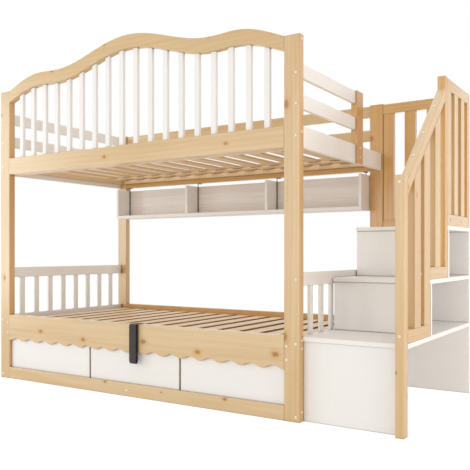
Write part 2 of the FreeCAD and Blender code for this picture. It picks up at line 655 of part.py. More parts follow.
def make_front_guard():
    """Lower rail, spindles and the wavy rail that takes their upper ends."""
    top, bottom = wave_heights()
    length = number(RAIL_LENGTH)
    samples = 48
    steps = [length * i / samples for i in range(samples + 1)]
    upper = [(u, top(u)) for u in steps]
    lower = [(u, bottom(u)) for u in steps]
    outline = [smooth(lower), line(lower[-1], upper[-1]), smooth(upper), line(upper[0], lower[0])]
    blank = curved_piece("wavy_blank", "XZ_Plane", outline, "post_depth", RAIL_START, "0", WAVE_END)
    wavy = eased_outline("wavy_eased", blank)

    spindles = []
    upper_mortises = []
    lower_mortises = []
    slack = "tenon_slack"
    foot = f"({UPPER_RAIL_TOP} - tenon)"
    for i, middle in enumerate(front_guard_spindles()):
        x = f"({middle} - spindle_width / 2)"
        left = number(x) - number(RAIL_START)
        head = max(bottom(left), bottom(left + size("spindle_width")))
        rise = f"({WAVE_END} + {head} - {foot} + tenon)"
        blank = block(f"guard_spindle_{i}_blank", x, SPINDLE_FRONT, foot, "spindle_width",
                      "spindle_thickness", rise)
        spindles.append(eased(f"guard_spindle_{i}", blank, ALONG["z"]))
        for mortises, where in ((lower_mortises, "foot"), (upper_mortises, "head")):
            if where == "foot":
                start = f"({foot} - {slack})"
                depth = f"(tenon + {slack} + edge_round)"
            else:
                start = f"({foot} + {rise} - 2 * tenon - spindle_width)"
                depth = f"(2 * tenon + spindle_width + {slack})"
            mortises.append(block(f"guard_mortise_{where}_{i}", f"({x} - {slack})",
                                  f"({SPINDLE_FRONT} - {slack})",
                                  start, f"(spindle_width + 2 * {slack})",
                                  f"(spindle_thickness + 2 * {slack})", depth))
    rail = board("upper_front_rail", "x", RAIL_START, "0", "upper_rail_bottom", RAIL_LENGTH, "post_depth",
                 "upper_rail_height")
    node("upper_front_rail", less("upper_front_rail_mortised", rail, lower_mortises))
    node("wavy_top_rail", less("wavy_top_rail_mortised", drilled("wavy_top_rail", wavy), upper_mortises))
    node("guard_spindles", spindles)


def make_upper_frame():
    """Rear rail, end rails, guard boards and the ledgers that carry the upper slats."""
    node("upper_rear_rail", board("upper_rear_rail", "x", RAIL_START, BACK, "upper_rail_bottom",
                                  RAIL_LENGTH,
                                  "post_depth", "upper_rail_height"))
    guard_y = "(bed_width - end_inset - end_thickness)"
    node("rear_guard_boards", [
        board(f"rear_guard_{level}", "x", RAIL_START, guard_y, z, RAIL_LENGTH, "end_thickness",
              "guard_height")
        for level, z in (("low", LOW_GUARD), ("high", HIGH_GUARD))])
    node("upper_end_rails", [
        board(f"{side}_end_rail", "y", x, "post_depth", "upper_rail_bottom", "end_thickness", CROSS_LENGTH,
              "upper_rail_height") for side, x in (("left", LEFT_END), ("right", RIGHT_END))])
    reach = {"left": CROSS_LENGTH, "right": "(entry_start - post_depth)"}
    node("end_guard_boards", [
        board(f"{side}_guard_{level}", "y", x, "post_depth", z, "end_thickness", reach[side],
              "guard_height")
        for side, x in (("left", LEFT_END), ("right", RIGHT_END))
        for level, z in (("low", LOW_GUARD), ("high", HIGH_GUARD))])
    front = board("front_ledger", "x", RAIL_START, "post_depth", "upper_rail_bottom", RAIL_LENGTH,
                  "front_ledger_width", "(ledger_rise + ledger_height)")
    rear = board("rear_ledger", "x", RAIL_START, f"({BACK} - ledger_width)", LEDGER_BOTTOM, RAIL_LENGTH,
                 "ledger_width", "ledger_height")
    battens = [
        board(f"{row}_batten", "x", RAIL_START, y, f"({UPPER_SLAT_BOTTOM} - batten_thickness)", RAIL_LENGTH,
              "batten_width", "batten_thickness")
        for row, y in (("front", "batten_inset"), ("rear", "(bed_width - batten_inset - batten_width)"))]
    ends = [
        board(f"{side}_end_ledger", "y", x, "post_depth", LEDGER_BOTTOM, "ledger_width", CROSS_LENGTH,
              "ledger_height")
        for side, x in (("left", LEFT_INSIDE), ("right", f"({RIGHT_END} - ledger_width)"))]
    node("upper_slat_ledgers", [front, rear, *battens, *ends])
    clear = number(RIGHT_END) - number(LEFT_INSIDE)
    count = int((clear - size("upper_slat_width")) / size("upper_slat_pitch")) + 1
    node("upper_slats", [
        board(f"upper_slat_{i}", "y", f"({middle} - upper_slat_width / 2)", "(post_depth + slat_play)",
              UPPER_SLAT_BOTTOM, "upper_slat_width", f"({CROSS_LENGTH} - 2 * slat_play)",
              "upper_slat_thickness")
        for i, middle in enumerate(spindle_places(count, "upper_slat_pitch",
                                                  f"({HALF} + upper_slat_shift)"))])


def make_lower_front():
    """Scalloped rail, floor rail and the three panels in the grooves between them."""
    length = number(RAIL_LENGTH)
    waves = int(size("scallop_waves"))
    rise = size("scallop_rise")
    steps_per_wave = 8
    steps = waves * steps_per_wave
    lower = [(length * i / steps,
              rise * (1 - cos(2 * pi * i / steps_per_wave)) / 2) for i in range(steps + 1)]
    top = size("side_rail_height")
    outline = [smooth(lower), line(lower[-1], (length, top)), line((length, top), (0, top)), line((0, top),
                                                                                                  lower[0])]
    blank = curved_piece("lower_front_blank", "XZ_Plane", outline, "post_depth", RAIL_START, "0",
                         SIDE_RAIL_BOTTOM)
    groove_y = "(panel_recess - panel_slack)"
    groove_width = "(panel_thickness + 2 * panel_slack)"
    groove_top = f"({SIDE_RAIL_BOTTOM} + scallop_rise + panel_groove)"
    upper_groove = block("upper_panel_groove", RAIL_START, groove_y, f"({SIDE_RAIL_BOTTOM} - panel_groove)",
                         RAIL_LENGTH, groove_width, "(scallop_rise + 2 * panel_groove + panel_slack)")
    lower_groove = block("lower_panel_groove", RAIL_START, groove_y, "(floor_rail_height - panel_groove)",
                         RAIL_LENGTH, groove_width, "panel_groove")
    rail = drilled("lower_front_rail", eased_outline("lower_front_eased", blank))
    node("lower_front_rail", less("lower_front_rail_grooved", rail, [upper_groove]))
    floor_rail = board("front_floor_rail", "x", RAIL_START, "0", "0", RAIL_LENGTH, "post_depth",
                       "floor_rail_height")
    node("front_floor_rail", less("front_floor_rail_grooved", floor_rail, [lower_groove]))

    foot = "(floor_rail_height - panel_groove)"
    edges = [(RAIL_START, "(first_joint_at - panel_gap / 2)"),
             ("(first_joint_at + panel_gap / 2)", "(second_joint_at - panel_gap / 2)"),
             ("(second_joint_at + panel_gap / 2)", "(bed_length - post_width)")]
    node("front_panels", [
        block(f"front_panel_{i}", start, "panel_recess", foot, f"({end} - {start})", "panel_thickness",
              f"({groove_top} - {foot})") for i, (start, end) in enumerate(edges)])
    node("panel_stiles", [
        board(f"panel_stile_{i}", "z", f"({middle} - stile_width / 2)", "post_depth",
              f"({BOX_FLOOR} + sheet_thickness)",
              "stile_width", "stile_thickness",
              f"({BASE_BOTTOM} - rest_gap - cleat_height - {BOX_FLOOR} - sheet_thickness)")
        for i, middle in enumerate(("first_joint_at", "second_joint_at"))])


def make_lower_frame():
    """Rear rails, floor rails and the spindled end panels."""
    node("lower_rear_rail", board("lower_rear_rail", "x", RAIL_START, BACK, SIDE_RAIL_BOTTOM, RAIL_LENGTH,
                                  "post_depth", "side_rail_height"))
    node("rear_floor_rail", board("rear_floor_rail", "x", RAIL_START, BACK, "0", RAIL_LENGTH, "post_depth",
                                  "floor_rail_height"))
    sides = (("left", LEFT_END), ("right", RIGHT_END))
    node("end_floor_rails", [
        board(f"{side}_floor_rail", "y", x, "post_depth", "0", "end_thickness", CROSS_LENGTH,
              "floor_rail_height")
        for side, x in sides])
    count = int(size("head_spindle_count"))
    places = spindle_places(count, "head_spindle_pitch", "bed_width / 2")
    slack = "tenon_slack"
    tops = []
    lows = []
    spindles = []
    for side, x in sides:
        top = board(f"{side}_head_top", "y", x, "post_depth", HEAD_TOP_BOTTOM, "end_thickness",
                    CROSS_LENGTH,
                    "head_top_height")
        low = board(f"{side}_head_low", "y", x, "post_depth", HEAD_LOW_BOTTOM, "end_thickness",
                    CROSS_LENGTH,
                    "head_low_height")
        spindle_x = f"({x} + (end_thickness - head_spindle_thickness) / 2)"
        foot = "(head_low_top - tenon)"
        rise = f"({HEAD_TOP_BOTTOM} + tenon - {foot})"
        top_mortises = []
        low_mortises = []
        for i, middle in enumerate(places):
            y = f"({middle} - head_spindle_width / 2)"
            blank = block(f"{side}_head_spindle_{i}_blank", spindle_x, y, foot, "head_spindle_thickness",
                          "head_spindle_width", rise)
            spindles.append(eased(f"{side}_head_spindle_{i}", blank, ALONG["z"]))
            for mortises, z in ((low_mortises, f"({foot} - {slack})"), (top_mortises, HEAD_TOP_BOTTOM)):
                mortises.append(block(f"{side}_mortise_{len(mortises)}_{i}", f"({spindle_x} - {slack})",
                                      f"({y} - {slack})", z, f"(head_spindle_thickness + 2 * {slack})",
                                      f"(head_spindle_width + 2 * {slack})", f"(tenon + {slack})"))
        tops.append(less(f"{side}_head_top_mortised", top, top_mortises))
        lows.append(less(f"{side}_head_low_mortised", low, low_mortises))
    node("head_top_rails", tops)
    node("head_low_rails", lows)
    node("head_spindles", spindles)


def make_storage_box():
    """Floor on bearers, ends, back and the cleat that the lifting frame comes down on."""
    inside = f"(bed_length - 2 * {LEFT_INSIDE})"
    step = f"(({inside} - bearer_width) / {BEARERS - 1})"
    bearers = []
    for i in range(BEARERS):
        blank = block(f"storage_bearer_{i}_blank", f"({LEFT_INSIDE} + {i} * {step})", "post_depth", "0",
                      "bearer_width", CROSS_LENGTH, "bearer_height")
        bearers.append(drilled(f"storage_bearer_{i}", blank))
    node("storage_bearers", bearers)
    node("storage_floor", block("storage_floor", LEFT_INSIDE, "post_depth", BOX_FLOOR, inside, CROSS_LENGTH,
                                "sheet_thickness"))
    above = f"({BOX_FLOOR} + sheet_thickness)"
    walls = [
        block(f"storage_end_{side}", x, "post_depth", above, "sheet_thickness", CROSS_LENGTH,
              f"(box_side_top - {above})")
        for side, x in (("left", LEFT_INSIDE), ("right",
                                                f"(bed_length - {LEFT_INSIDE} - sheet_thickness)"))]
    walls.append(block("storage_back", BOX_SIDE, f"({BACK} - sheet_thickness)", above,
                       f"(bed_length - 2 * {BOX_SIDE})", "sheet_thickness", f"(box_back_top - {above})"))
    node("storage_walls", walls)
    node("base_cleat", board("base_cleat", "x", RAIL_START, "post_depth",
                             f"({BASE_BOTTOM} - rest_gap - cleat_height)",
                             RAIL_LENGTH, "cleat_width", "cleat_height"))


def make_lifting_base():
    """Frame and slats of the lower bunk, hinged along the back."""
    inner_length = f"({BASE_LENGTH} - 2 * base_end_width)"
    depth = f"({BASE_REAR} - {BASE_FRONT})"
    middle = f"({BASE_FRONT} + {depth} / 2 - base_rail_width / 2)"
    rails = [("base_front_rail", BASE_LEFT, BASE_FRONT, BASE_LENGTH),
             ("base_middle_rail", f"({BASE_LEFT} + base_end_width)", middle, inner_length),
             ("base_rear_rail", BASE_LEFT, f"({BASE_REAR} - base_rail_width)", BASE_LENGTH)]
    frame = [board(name, "x", x, y, BASE_BOTTOM, length, "base_rail_width", "base_rail_height")
             for name, x, y, length in rails]
    for side, x in (("left", BASE_LEFT), ("right", f"(bed_length - {BASE_LEFT} - base_end_width)")):
        frame.append(board(f"base_end_{side}", "y", x, f"({BASE_FRONT} + base_rail_width)", BASE_BOTTOM,
                           "base_end_width", f"({depth} - 2 * base_rail_width)", "base_rail_height"))
    node("base_frame", frame)
    count = int(number(BASE_LENGTH) / size("lower_slat_pitch") + 0.5)
    slat_y = f"({BASE_FRONT} + slat_front_gap)"
    node("lower_slats", [
        board(f"lower_slat_{i}", "y", f"({place} - lower_slat_width / 2)", slat_y, BASE_RAIL_TOP,
              "lower_slat_width",
              f"({BASE_REAR} - slat_play - {slat_y})", "lower_slat_thickness")
        for i, place in enumerate(spindle_places(count, "lower_slat_pitch",
                                                 f"({HALF} + lower_slat_shift)"))])


def make_hinges():
    """Three butt hinges: the fixed leaf has the middle knuckle, the lifting leaf the two outer ones."""
    fixed = []
    lifting = []
    pins = []
    width = "(3 * knuckle_length)"
    tab = "(knuckle_length - knuckle_play)"
    bore_radius = "(pin_radius + pin_clearance)"
    leaf_bottom = f"({HINGE_Z} - leaf_drop)"
    for i, middle in enumerate((f"({HALF} - hinge_spread)", HALF, f"({HALF} + hinge_spread)")):
        start = f"({middle} - {width} / 2)"
        bore = rod(f"hinge_{i}_bore", TURN_X, f"({start} - knuckle_play)", HINGE_Y, HINGE_Z, bore_radius,
                   f"({width} + 2 * knuckle_play)")
        for leaf, y, thirds, pieces in (("fixed", f"({BACK} - leaf_thickness)", (1,), fixed),
                                        ("lifting", BASE_REAR, (0, 2), lifting)):
            name = f"hinge_{i}_{leaf}"
            parts = [block(f"{name}_plate", start, y, leaf_bottom, width, "leaf_thickness",
                           "(leaf_drop - leaf_relief)")]
            for third in thirds:
                x = f"({start} + {third} * knuckle_length + knuckle_play / 2)"
                parts.append(block(f"{name}_tab_{third}", x, y, leaf_bottom, tab, "leaf_thickness",
                                   "leaf_drop"))
                parts.append(rod(f"{name}_knuckle_{third}", TURN_X, x, HINGE_Y, HINGE_Z, "knuckle_radius",
                                 tab))
            pieces.append(less(name, joined(f"{name}_solid", parts), [bore]))
        pins.append(rod(f"hinge_{i}_pin", TURN_X, start, HINGE_Y, HINGE_Z, "pin_radius", width))
    node("hinge_fixed_leaves", fixed)
    node("hinge_lifting_leaves", lifting)
    node("hinge_pins", pins)


def make_struts():
    """A gas strut at each end: a cylinder on a pin of the storage box and a rod that lifts the frame."""
    box_pins = []
    base_pins = []
    half_eye = "strut_eye_width / 2"
    mouth = f"({STRUT_REAR} - strut_neck - strut_tube_length)"
    gap = "(base_end_gap - sheet_thickness)"
    for side, sign in (("left", 1), ("right", -1)):
        inner = BOX_SIDE if sign == 1 else f"(bed_length - {BOX_SIDE})"
        turn = TURN_X if sign == 1 else TURN_BACK_X
        back_turn = TURN_BACK_X if sign == 1 else TURN_X
        x = f"({inner} + {sign} * strut_aside)"
        eye_x = f"({x} - {half_eye})"
        frame_x = f"({inner} + {sign} * {gap})"

        name = f"strut_{side}_cylinder"
        eye = rod(f"{name}_eye", TURN_X, eye_x, STRUT_REAR, STRUT_Z, "strut_eye_radius", "strut_eye_width")
        neck = block(f"{name}_neck", eye_x, f"({STRUT_REAR} - strut_neck - 1)", f"({STRUT_Z} - {half_eye})",
                     "strut_eye_width", "(strut_neck + 1)", "strut_eye_width")
        tube = rod(f"{name}_tube", TURN_Y, x, mouth, STRUT_Z, "strut_tube_radius", "strut_tube_length")
        bore = rod(f"{name}_bore", TURN_Y, x, mouth, STRUT_Z, "(strut_rod_radius + strut_rod_clearance)",
                   "(strut_rod_inside + strut_bore_spare)")
        pin_hole = rod(f"{name}_pin_hole", TURN_X, eye_x, STRUT_REAR, STRUT_Z,
                       "(strut_pin_radius + pin_clearance)",
                       "strut_eye_width")
        node(name, less(f"{name}_bored", joined(f"{name}_solid", [eye, neck, tube]), [bore, pin_hole]))

        name = f"strut_{side}_rod"
        rod_start = f"({STRUT_FRONT} + strut_eye_radius - 1)"
        shaft = rod(f"{name}_shaft", TURN_Y, x, rod_start, STRUT_Z, "strut_rod_radius",
                    f"({mouth} + strut_rod_inside - {rod_start})")
        eye = rod(f"{name}_eye", TURN_X, eye_x, STRUT_FRONT, STRUT_Z, "strut_eye_radius", "strut_eye_width")
        slack_hole = rod(f"{name}_hole", TURN_X, eye_x, STRUT_FRONT, STRUT_Z,
                         "(strut_pin_radius + strut_open_slack)", "strut_eye_width")
        node(name, less(f"{name}_bored", joined(f"{name}_solid", [eye, shaft]), [slack_hole]))

        for kind, place, face, way, pins in (("box", STRUT_REAR, inner, sign, box_pins),
                                             ("base", STRUT_FRONT, frame_x, -sign, base_pins)):
            name = f"strut_{side}_{kind}_pin"
            plate_x = face if way == 1 else f"({face} - strut_plate_thickness)"
            plate = block(f"{name}_plate", plate_x, f"({place} - strut_plate / 2)",
                          f"({STRUT_Z} - strut_plate / 4)",
                          "strut_plate_thickness", "strut_plate", "(strut_plate / 2)")
            reach = "strut_aside" if kind == "box" else f"{gap} - strut_aside"
            pin = rod(f"{name}_stud", turn if way == sign else back_turn, face, place, STRUT_Z,
                      "strut_pin_radius", f"({reach} + {half_eye})")
            pins.append(joined(name, [plate, pin]))
    node("strut_box_pins", box_pins)
    node("strut_base_pins", base_pins)


def make_strap():
    """Webbing in three lengths: a tail round the staple, a lap over the front rail and a hanging loop."""
    x = "(strap_at - strap_width / 2)"
    lap_z = "(side_rail_top + strap_over)"
    outer = "strap_loop_depth / 2"
    inner = f"({outer} - strap_thickness)"
    loop_y = f"(- {LOOP_FRONT} + {outer})"
    low = f"(strap_loop_bottom + {outer})"
    outlines = []
    for name, radius, top in (("outer", outer, f"({lap_z} + strap_thickness)"), ("inner", inner, lap_z)):
        bend = rod(f"strap_{name}_bend", TURN_X, x, loop_y, low, radius, "strap_width")
        sides = block(f"strap_{name}_sides", x, f"({loop_y} - {radius})", low, "strap_width",
                      f"(2 * {radius})",
                      f"({top} - {low})")
        outlines.append(joined(f"strap_{name}", [bend, sides]))
    loop = less("strap_loop", outlines[0], [outlines[1]])
    eye_radius = "(staple_radius + staple_clearance + strap_thickness)"
    tail_y = f"({STAPLE_Y} - {eye_radius})"
    lap = block("strap_lap", x, "(- strap_stand_off)", lap_z, "strap_width",
                f"({tail_y} + strap_stand_off)",
                "strap_thickness")
    run = block("strap_tail_run", x, tail_y, STAPLE_Z, "strap_width", "strap_thickness",
                f"({lap_z} + strap_thickness - {STAPLE_Z})")
    eye = rod("strap_eye", TURN_X, x, STAPLE_Y, STAPLE_Z, eye_radius, "strap_width")
    hole = rod("strap_eye_hole", TURN_X, x, STAPLE_Y, STAPLE_Z, "(staple_radius + staple_clearance)",
               "strap_width")
    tail = less("strap_tail", joined("strap_tail_solid", [run, eye]), [hole])
    node("lift_strap", [loop, lap, tail])

    leg_x = "(strap_at - staple_spread / 2)"
    legs = [rod(f"staple_leg_{i}", UPRIGHT, f"({leg_x} + {i} * staple_spread)", STAPLE_Y, BASE_RAIL_TOP,
                "staple_radius", "staple_rise") for i in range(2)]
    bar = rod("staple_bar", TURN_X, f"({leg_x} - staple_radius)", STAPLE_Y, STAPLE_Z, "staple_radius",
              "(staple_spread + 2 * staple_radius)")
    node("strap_staple", joined("strap_staple_solid", legs + [bar]))


def make_shelf():
    """Shelf with three compartments, hung under the upper rear rail on steel hangers."""
    node("shelf_floor", board("shelf_floor", "x", SHELF_LEFT, SHELF_FRONT, "shelf_bottom", SHELF_LENGTH,
                              "shelf_depth", "shelf_floor_thickness"))
    uprights = 4
    step = f"(({SHELF_LENGTH} - shelf_board) / {uprights - 1})"
    places = [f"({SHELF_LEFT} + {i} * {step})" for i in range(uprights)]
    upright_depth = f"({SHELF_BACK} - {SHELF_FRONT})"
    node("shelf_uprights", [
        board(f"shelf_upright_{i}", "z", x, SHELF_FRONT, SHELF_TOP_OF_FLOOR, "shelf_board", upright_depth,
              "shelf_height") for i, x in enumerate(places)])
    levels = [("0", "shelf_groove_low - shelf_groove"),
              ("shelf_groove_low", "shelf_groove_high - shelf_groove"),
              ("shelf_groove_high", "shelf_height")]
    node("shelf_back_boards", [
        block(f"shelf_back_{i}", SHELF_LEFT, SHELF_BACK, f"({SHELF_TOP_OF_FLOOR} + {low})", SHELF_LENGTH,
              "shelf_back_thickness", f"({high} - ({low}))") for i, (low, high) in enumerate(levels)])
    hangers = []
    for i, x in enumerate(places):
        last = i == uprights - 1
        face = f"({x} - hanger_thickness)" if last else f"({x} + shelf_board)"
        foot_x = face if 0 < i < uprights - 1 else f"({face} + hanger_thickness - hanger_foot)"
        y = f"({SHELF_BACK} - hanger_width)"
        strip = block(f"hanger_{i}_strip", face, y, SHELF_TOP_OF_FLOOR, "hanger_thickness", "hanger_width",
                      f"(upper_rail_bottom - {SHELF_TOP_OF_FLOOR})")
        foot = block(f"hanger_{i}_foot", foot_x, y, "(upper_rail_bottom - hanger_thickness)", "hanger_foot",
                     f"(bed_width - {y} - edge_round)", "hanger_thickness")
        hangers.append(joined(f"hanger_{i}", [strip, foot]))
    node("shelf_hangers", hangers)


def make_stairs():
    """Stair cabinet beside the bed, open on its outer side."""
    levels = [("first", "first_riser_front", "0", "first_tread_top"),
              ("second", "second_riser_front", "first_tread_top", SECOND_TREAD_TOP),
              ("third", "third_riser_front", SECOND_TREAD_TOP, THIRD_TREAD_TOP)]
    risers = []
    sides = []
    treads = []
    for name, front, below, top in levels:
        underside = f"({top} - tread_thickness)"
        reach = f"({RAILING} - bed_length)" if name == "first" else "stair_width"
        risers.append(board(f"{name}_riser", "x", "bed_length", front, below, reach, "stair_board",
                            f"({underside} - {below})"))
        behind = f"({front} + stair_board)"
        sides.append(block(f"{name}_side", "bed_length", behind, below, "stair_board",
                           f"({CABINET_BACK} - {behind})",
                           f"({underside} - {below})"))
        if name != "first":
            treads.append(board(f"{name}_tread", "x", "bed_length", f"({front} - nosing)", underside,
                                "stair_width",
                                f"({CABINET_BACK} - {front} + nosing)", "tread_thickness"))
    edge = "(first_riser_front - nosing)"
    depth = f"({CABINET_BACK} - {edge})"
    notch = f"(newel_depth - {edge})"
    inner = f"({RAILING} - bed_length)"
    corners = [("0", "0"), (inner, "0"), (inner, notch), ("stair_width", notch), ("stair_width", depth),
               ("0", depth)]
    first = polygon_piece("first_tread", "XY_Plane", corners, "tread_thickness", "bed_length", edge,
                          "(first_tread_top - tread_thickness)")
    node("stair_treads", [first] + treads)
    node("stair_risers", risers)
    node("stair_sides", sides)
    node("stair_back", block("stair_back", "bed_length", CABINET_BACK, "0", "stair_width", "stair_board",
                             THIRD_TREAD_TOP))


def handrail_height(y):
    """Top of the sloping rail at a place across the bed."""
    return f"({HANDRAIL_LOW} + {HANDRAIL_CLIMB} * ({y} - newel_depth) / {HANDRAIL_RUN})"


def sloped_slat(name, start, depth, foot):
    """An upright slat whose head is cut to the underside of the sloping rail."""
    low = f"({handrail_height(start)} - handrail_drop - {foot})"
    high = f"({handrail_height(f'({start} + {depth})')} - handrail_drop - {foot})"
    corners = [("0", "0"), (depth, "0"), (depth, high), ("0", low)]
    blank = polygon_piece(f"{name}_blank", "YZ_Plane", corners, "(railing_thickness - slat_inset)",
                          f"({RAILING} + slat_inset)", start, foot)
    return drilled(name, eased(f"{name}_eased", blank, ALONG["z"]))


def make_railing():
    """Railing on the open side of the stairs and guard behind the top tread."""
    foot_rails = [("lower_foot_rail", "newel_depth", SECOND_EDGE, "first_tread_top"),
                  ("middle_foot_rail", SECOND_EDGE, THIRD_EDGE, SECOND_TREAD_TOP),
                  ("landing_foot_rail", THIRD_EDGE, CORNER_FRONT, THIRD_TREAD_TOP)]
    landing_rail = ("landing_top_rail", THIRD_EDGE, CORNER_FRONT, "(railing_top - top_rail_height)")
    rails = [board(name, "y", RAILING, start, z, "railing_thickness", f"({end} - {start})",
                   "foot_rail_height")
             for name, start, end, z in foot_rails]
    name, start, end, z = landing_rail
    rails.append(board(name, "y", RAILING, start, z, "railing_thickness", f"({end} - {start})",
                       "top_rail_height"))
    node("stair_railing_rails", rails)

    node("stair_newel", board("stair_newel", "z", RAILING, "0", "0", "railing_thickness", "newel_depth",
                              "newel_height"))
    peak_foot = f"({SECOND_TREAD_TOP} + foot_rail_height)"
    node("upper_railing_posts", [
        board("peak_post", "z", RAILING, PEAK_FRONT, peak_foot, "railing_thickness", "peak_depth",
              f"(railing_top - {peak_foot})"),
        board("corner_post", "z", RAILING, CORNER_FRONT, THIRD_TREAD_TOP, "railing_thickness",
              "corner_depth",
              f"(railing_top - {THIRD_TREAD_TOP})")])
    corners = [("0", "0"), (HANDRAIL_RUN, HANDRAIL_CLIMB),
               (HANDRAIL_RUN, f"({HANDRAIL_CLIMB} + handrail_drop)"), ("0", "handrail_drop")]
    blank = polygon_piece("sloping_handrail_blank", "YZ_Plane", corners, "railing_thickness", RAILING,
                          "newel_depth", f"({HANDRAIL_LOW} - handrail_drop)")
    slope = FreeCAD.Vector(0, number(HANDRAIL_RUN), number(HANDRAIL_CLIMB)).normalize()
    node("sloping_handrail", drilled("sloping_handrail", eased("sloping_handrail_eased", blank, slope)))
    lower_foot = "(first_tread_top + foot_rail_height)"
    middle_foot = f"({SECOND_TREAD_TOP} + foot_rail_height)"
    node("sloping_rail_slats", [
        sloped_slat("lower_slat_front", "lower_slat_start", "lower_slat_depth", lower_foot),
        sloped_slat("lower_slat_back", SECOND_SLAT_START, "lower_slat_depth", lower_foot),
        sloped_slat("middle_slat", "middle_slat_start", "lower_slat_depth", middle_foot)])

    landing_foot = f"({THIRD_TREAD_TOP} + foot_rail_height)"
    clear = f"(railing_top - top_rail_height - {landing_foot})"
    landing_run = f"({CORNER_FRONT} - {THIRD_EDGE})"
    landing_count = 3
    landing_step = f"({landing_run} / {landing_count})"
    node("landing_slats", [
        board(f"landing_slat_{i}", "z", f"({RAILING} + slat_inset)",
              f"({THIRD_EDGE} + {i} * {landing_step})",
              landing_foot, "(railing_thickness - slat_inset)", "landing_slat_depth", clear)
        for i in range(landing_count)])

    guard_length = f"({RAILING} - bed_length)"
    node("rear_stair_rails", [
        board(name, "x", "bed_length", GUARD_BACK, z, guard_length, "railing_thickness", height)
        for name, z, height in (("rear_foot_rail", THIRD_TREAD_TOP, "foot_rail_height"),
                                ("rear_top_rail", "(railing_top - top_rail_height)", "top_rail_height"))])
    guard_count = 4
    guard_step = f"(({guard_length} - guard_slat_width) / {guard_count - 1})"
    node("rear_stair_slats", [
        board(f"rear_stair_slat_{i}", "z", f"(bed_length + {i} * {guard_step})",
              f"({GUARD_BACK} + slat_inset)",
              landing_foot, "guard_slat_width", "(railing_thickness - 2 * slat_inset)", clear)
        for i in range(guard_count)])


def check_document():
    """Stop if any object failed or any sub-part is not a valid shape."""
    doc.recompute()
    for item in doc.Objects:
        if "Invalid" in item.State or "Error" in item.State:
            raise RuntimeError(f"{item.Label} failed: {item.State}")
    for label, item in nodes.items():
        if item.Shape.isNull() or not item.Shape.isValid() or not item.Shape.Solids:
            raise RuntimeError(f"{label} has no valid solid")


def write_parts():
    os.makedirs("parts", exist_ok=True)
    for label, item in nodes.items():
        item.Shape.exportStep(f"parts/{label}.step")
        print(label, len(item.Shape.Solids), "solids", round(item.Shape.Volume), "mm3")


list_bolts()
make_posts()
make_entry_post()
make_front_guard()
make_upper_frame()
make_lower_front()
make_lower_frame()
make_storage_box()
make_lifting_base()
make_hinges()
make_struts()
make_strap()
make_shelf()
make_stairs()
make_railing()
node("frame_bolts", bolts)
node("bolt_caps", caps)
check_document()
write_parts()
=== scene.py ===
"""Finishes of the bunk bed: pine, white paint, steel, webbing, screws and the studio that it stands in.

Metres, +Z up, +X along the bed from the plain end to the stair end, +Y from the front to the back.
"""

from math import radians

import bpy
import numpy as np
from bpy.props import FloatProperty, FloatVectorProperty, IntProperty, PointerProperty
from bpy.types import Operator, Panel, PropertyGroup
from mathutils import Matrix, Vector


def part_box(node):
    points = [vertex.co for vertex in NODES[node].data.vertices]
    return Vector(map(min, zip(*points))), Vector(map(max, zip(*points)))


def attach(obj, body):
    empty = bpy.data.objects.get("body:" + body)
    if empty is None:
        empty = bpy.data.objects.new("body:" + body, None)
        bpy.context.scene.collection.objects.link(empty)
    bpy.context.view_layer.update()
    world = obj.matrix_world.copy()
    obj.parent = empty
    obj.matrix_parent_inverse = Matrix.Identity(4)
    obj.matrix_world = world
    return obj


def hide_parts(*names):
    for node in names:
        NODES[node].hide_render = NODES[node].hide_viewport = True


bl_info = {
    "name": "Bunk Bed Finishes",
    "version": (1, 0, 0),
    "blender": (4, 5, 0),
    "location": "3D View > Sidebar > Bunk Bed",
    "description": "Timber, paint, steel and webbing finishes of a bunk bed with stairs",
    "category": "Object",
}

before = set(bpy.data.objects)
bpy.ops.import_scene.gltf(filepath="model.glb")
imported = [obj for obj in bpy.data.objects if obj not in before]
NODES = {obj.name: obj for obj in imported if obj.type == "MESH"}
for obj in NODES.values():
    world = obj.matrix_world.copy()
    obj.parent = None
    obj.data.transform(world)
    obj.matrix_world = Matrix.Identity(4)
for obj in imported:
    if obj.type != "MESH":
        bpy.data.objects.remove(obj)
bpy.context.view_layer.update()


def display(red, green, blue):
    """Linear colour, with alpha, of three display levels from 0 to 255."""
    level = np.array((red, green, blue)) / 255
    linear = np.where(level <= 0.04045, level / 12.92, ((level + 0.055) / 1.055) ** 2.4)
    return (*linear.tolist(), 1.0)


def colour(name, description, *levels):
    return FloatVectorProperty(name=name, description=description, subtype="COLOR", size=4, min=0, max=1,
                               default=display(*levels))


def length(name, description, default):
    return FloatProperty(name=name, description=description, subtype="DISTANCE", unit="LENGTH",
                         default=default)


def amount(name, description, default, unit="NONE"):
    return FloatProperty(name=name, description=description, unit=unit, default=default, min=0)


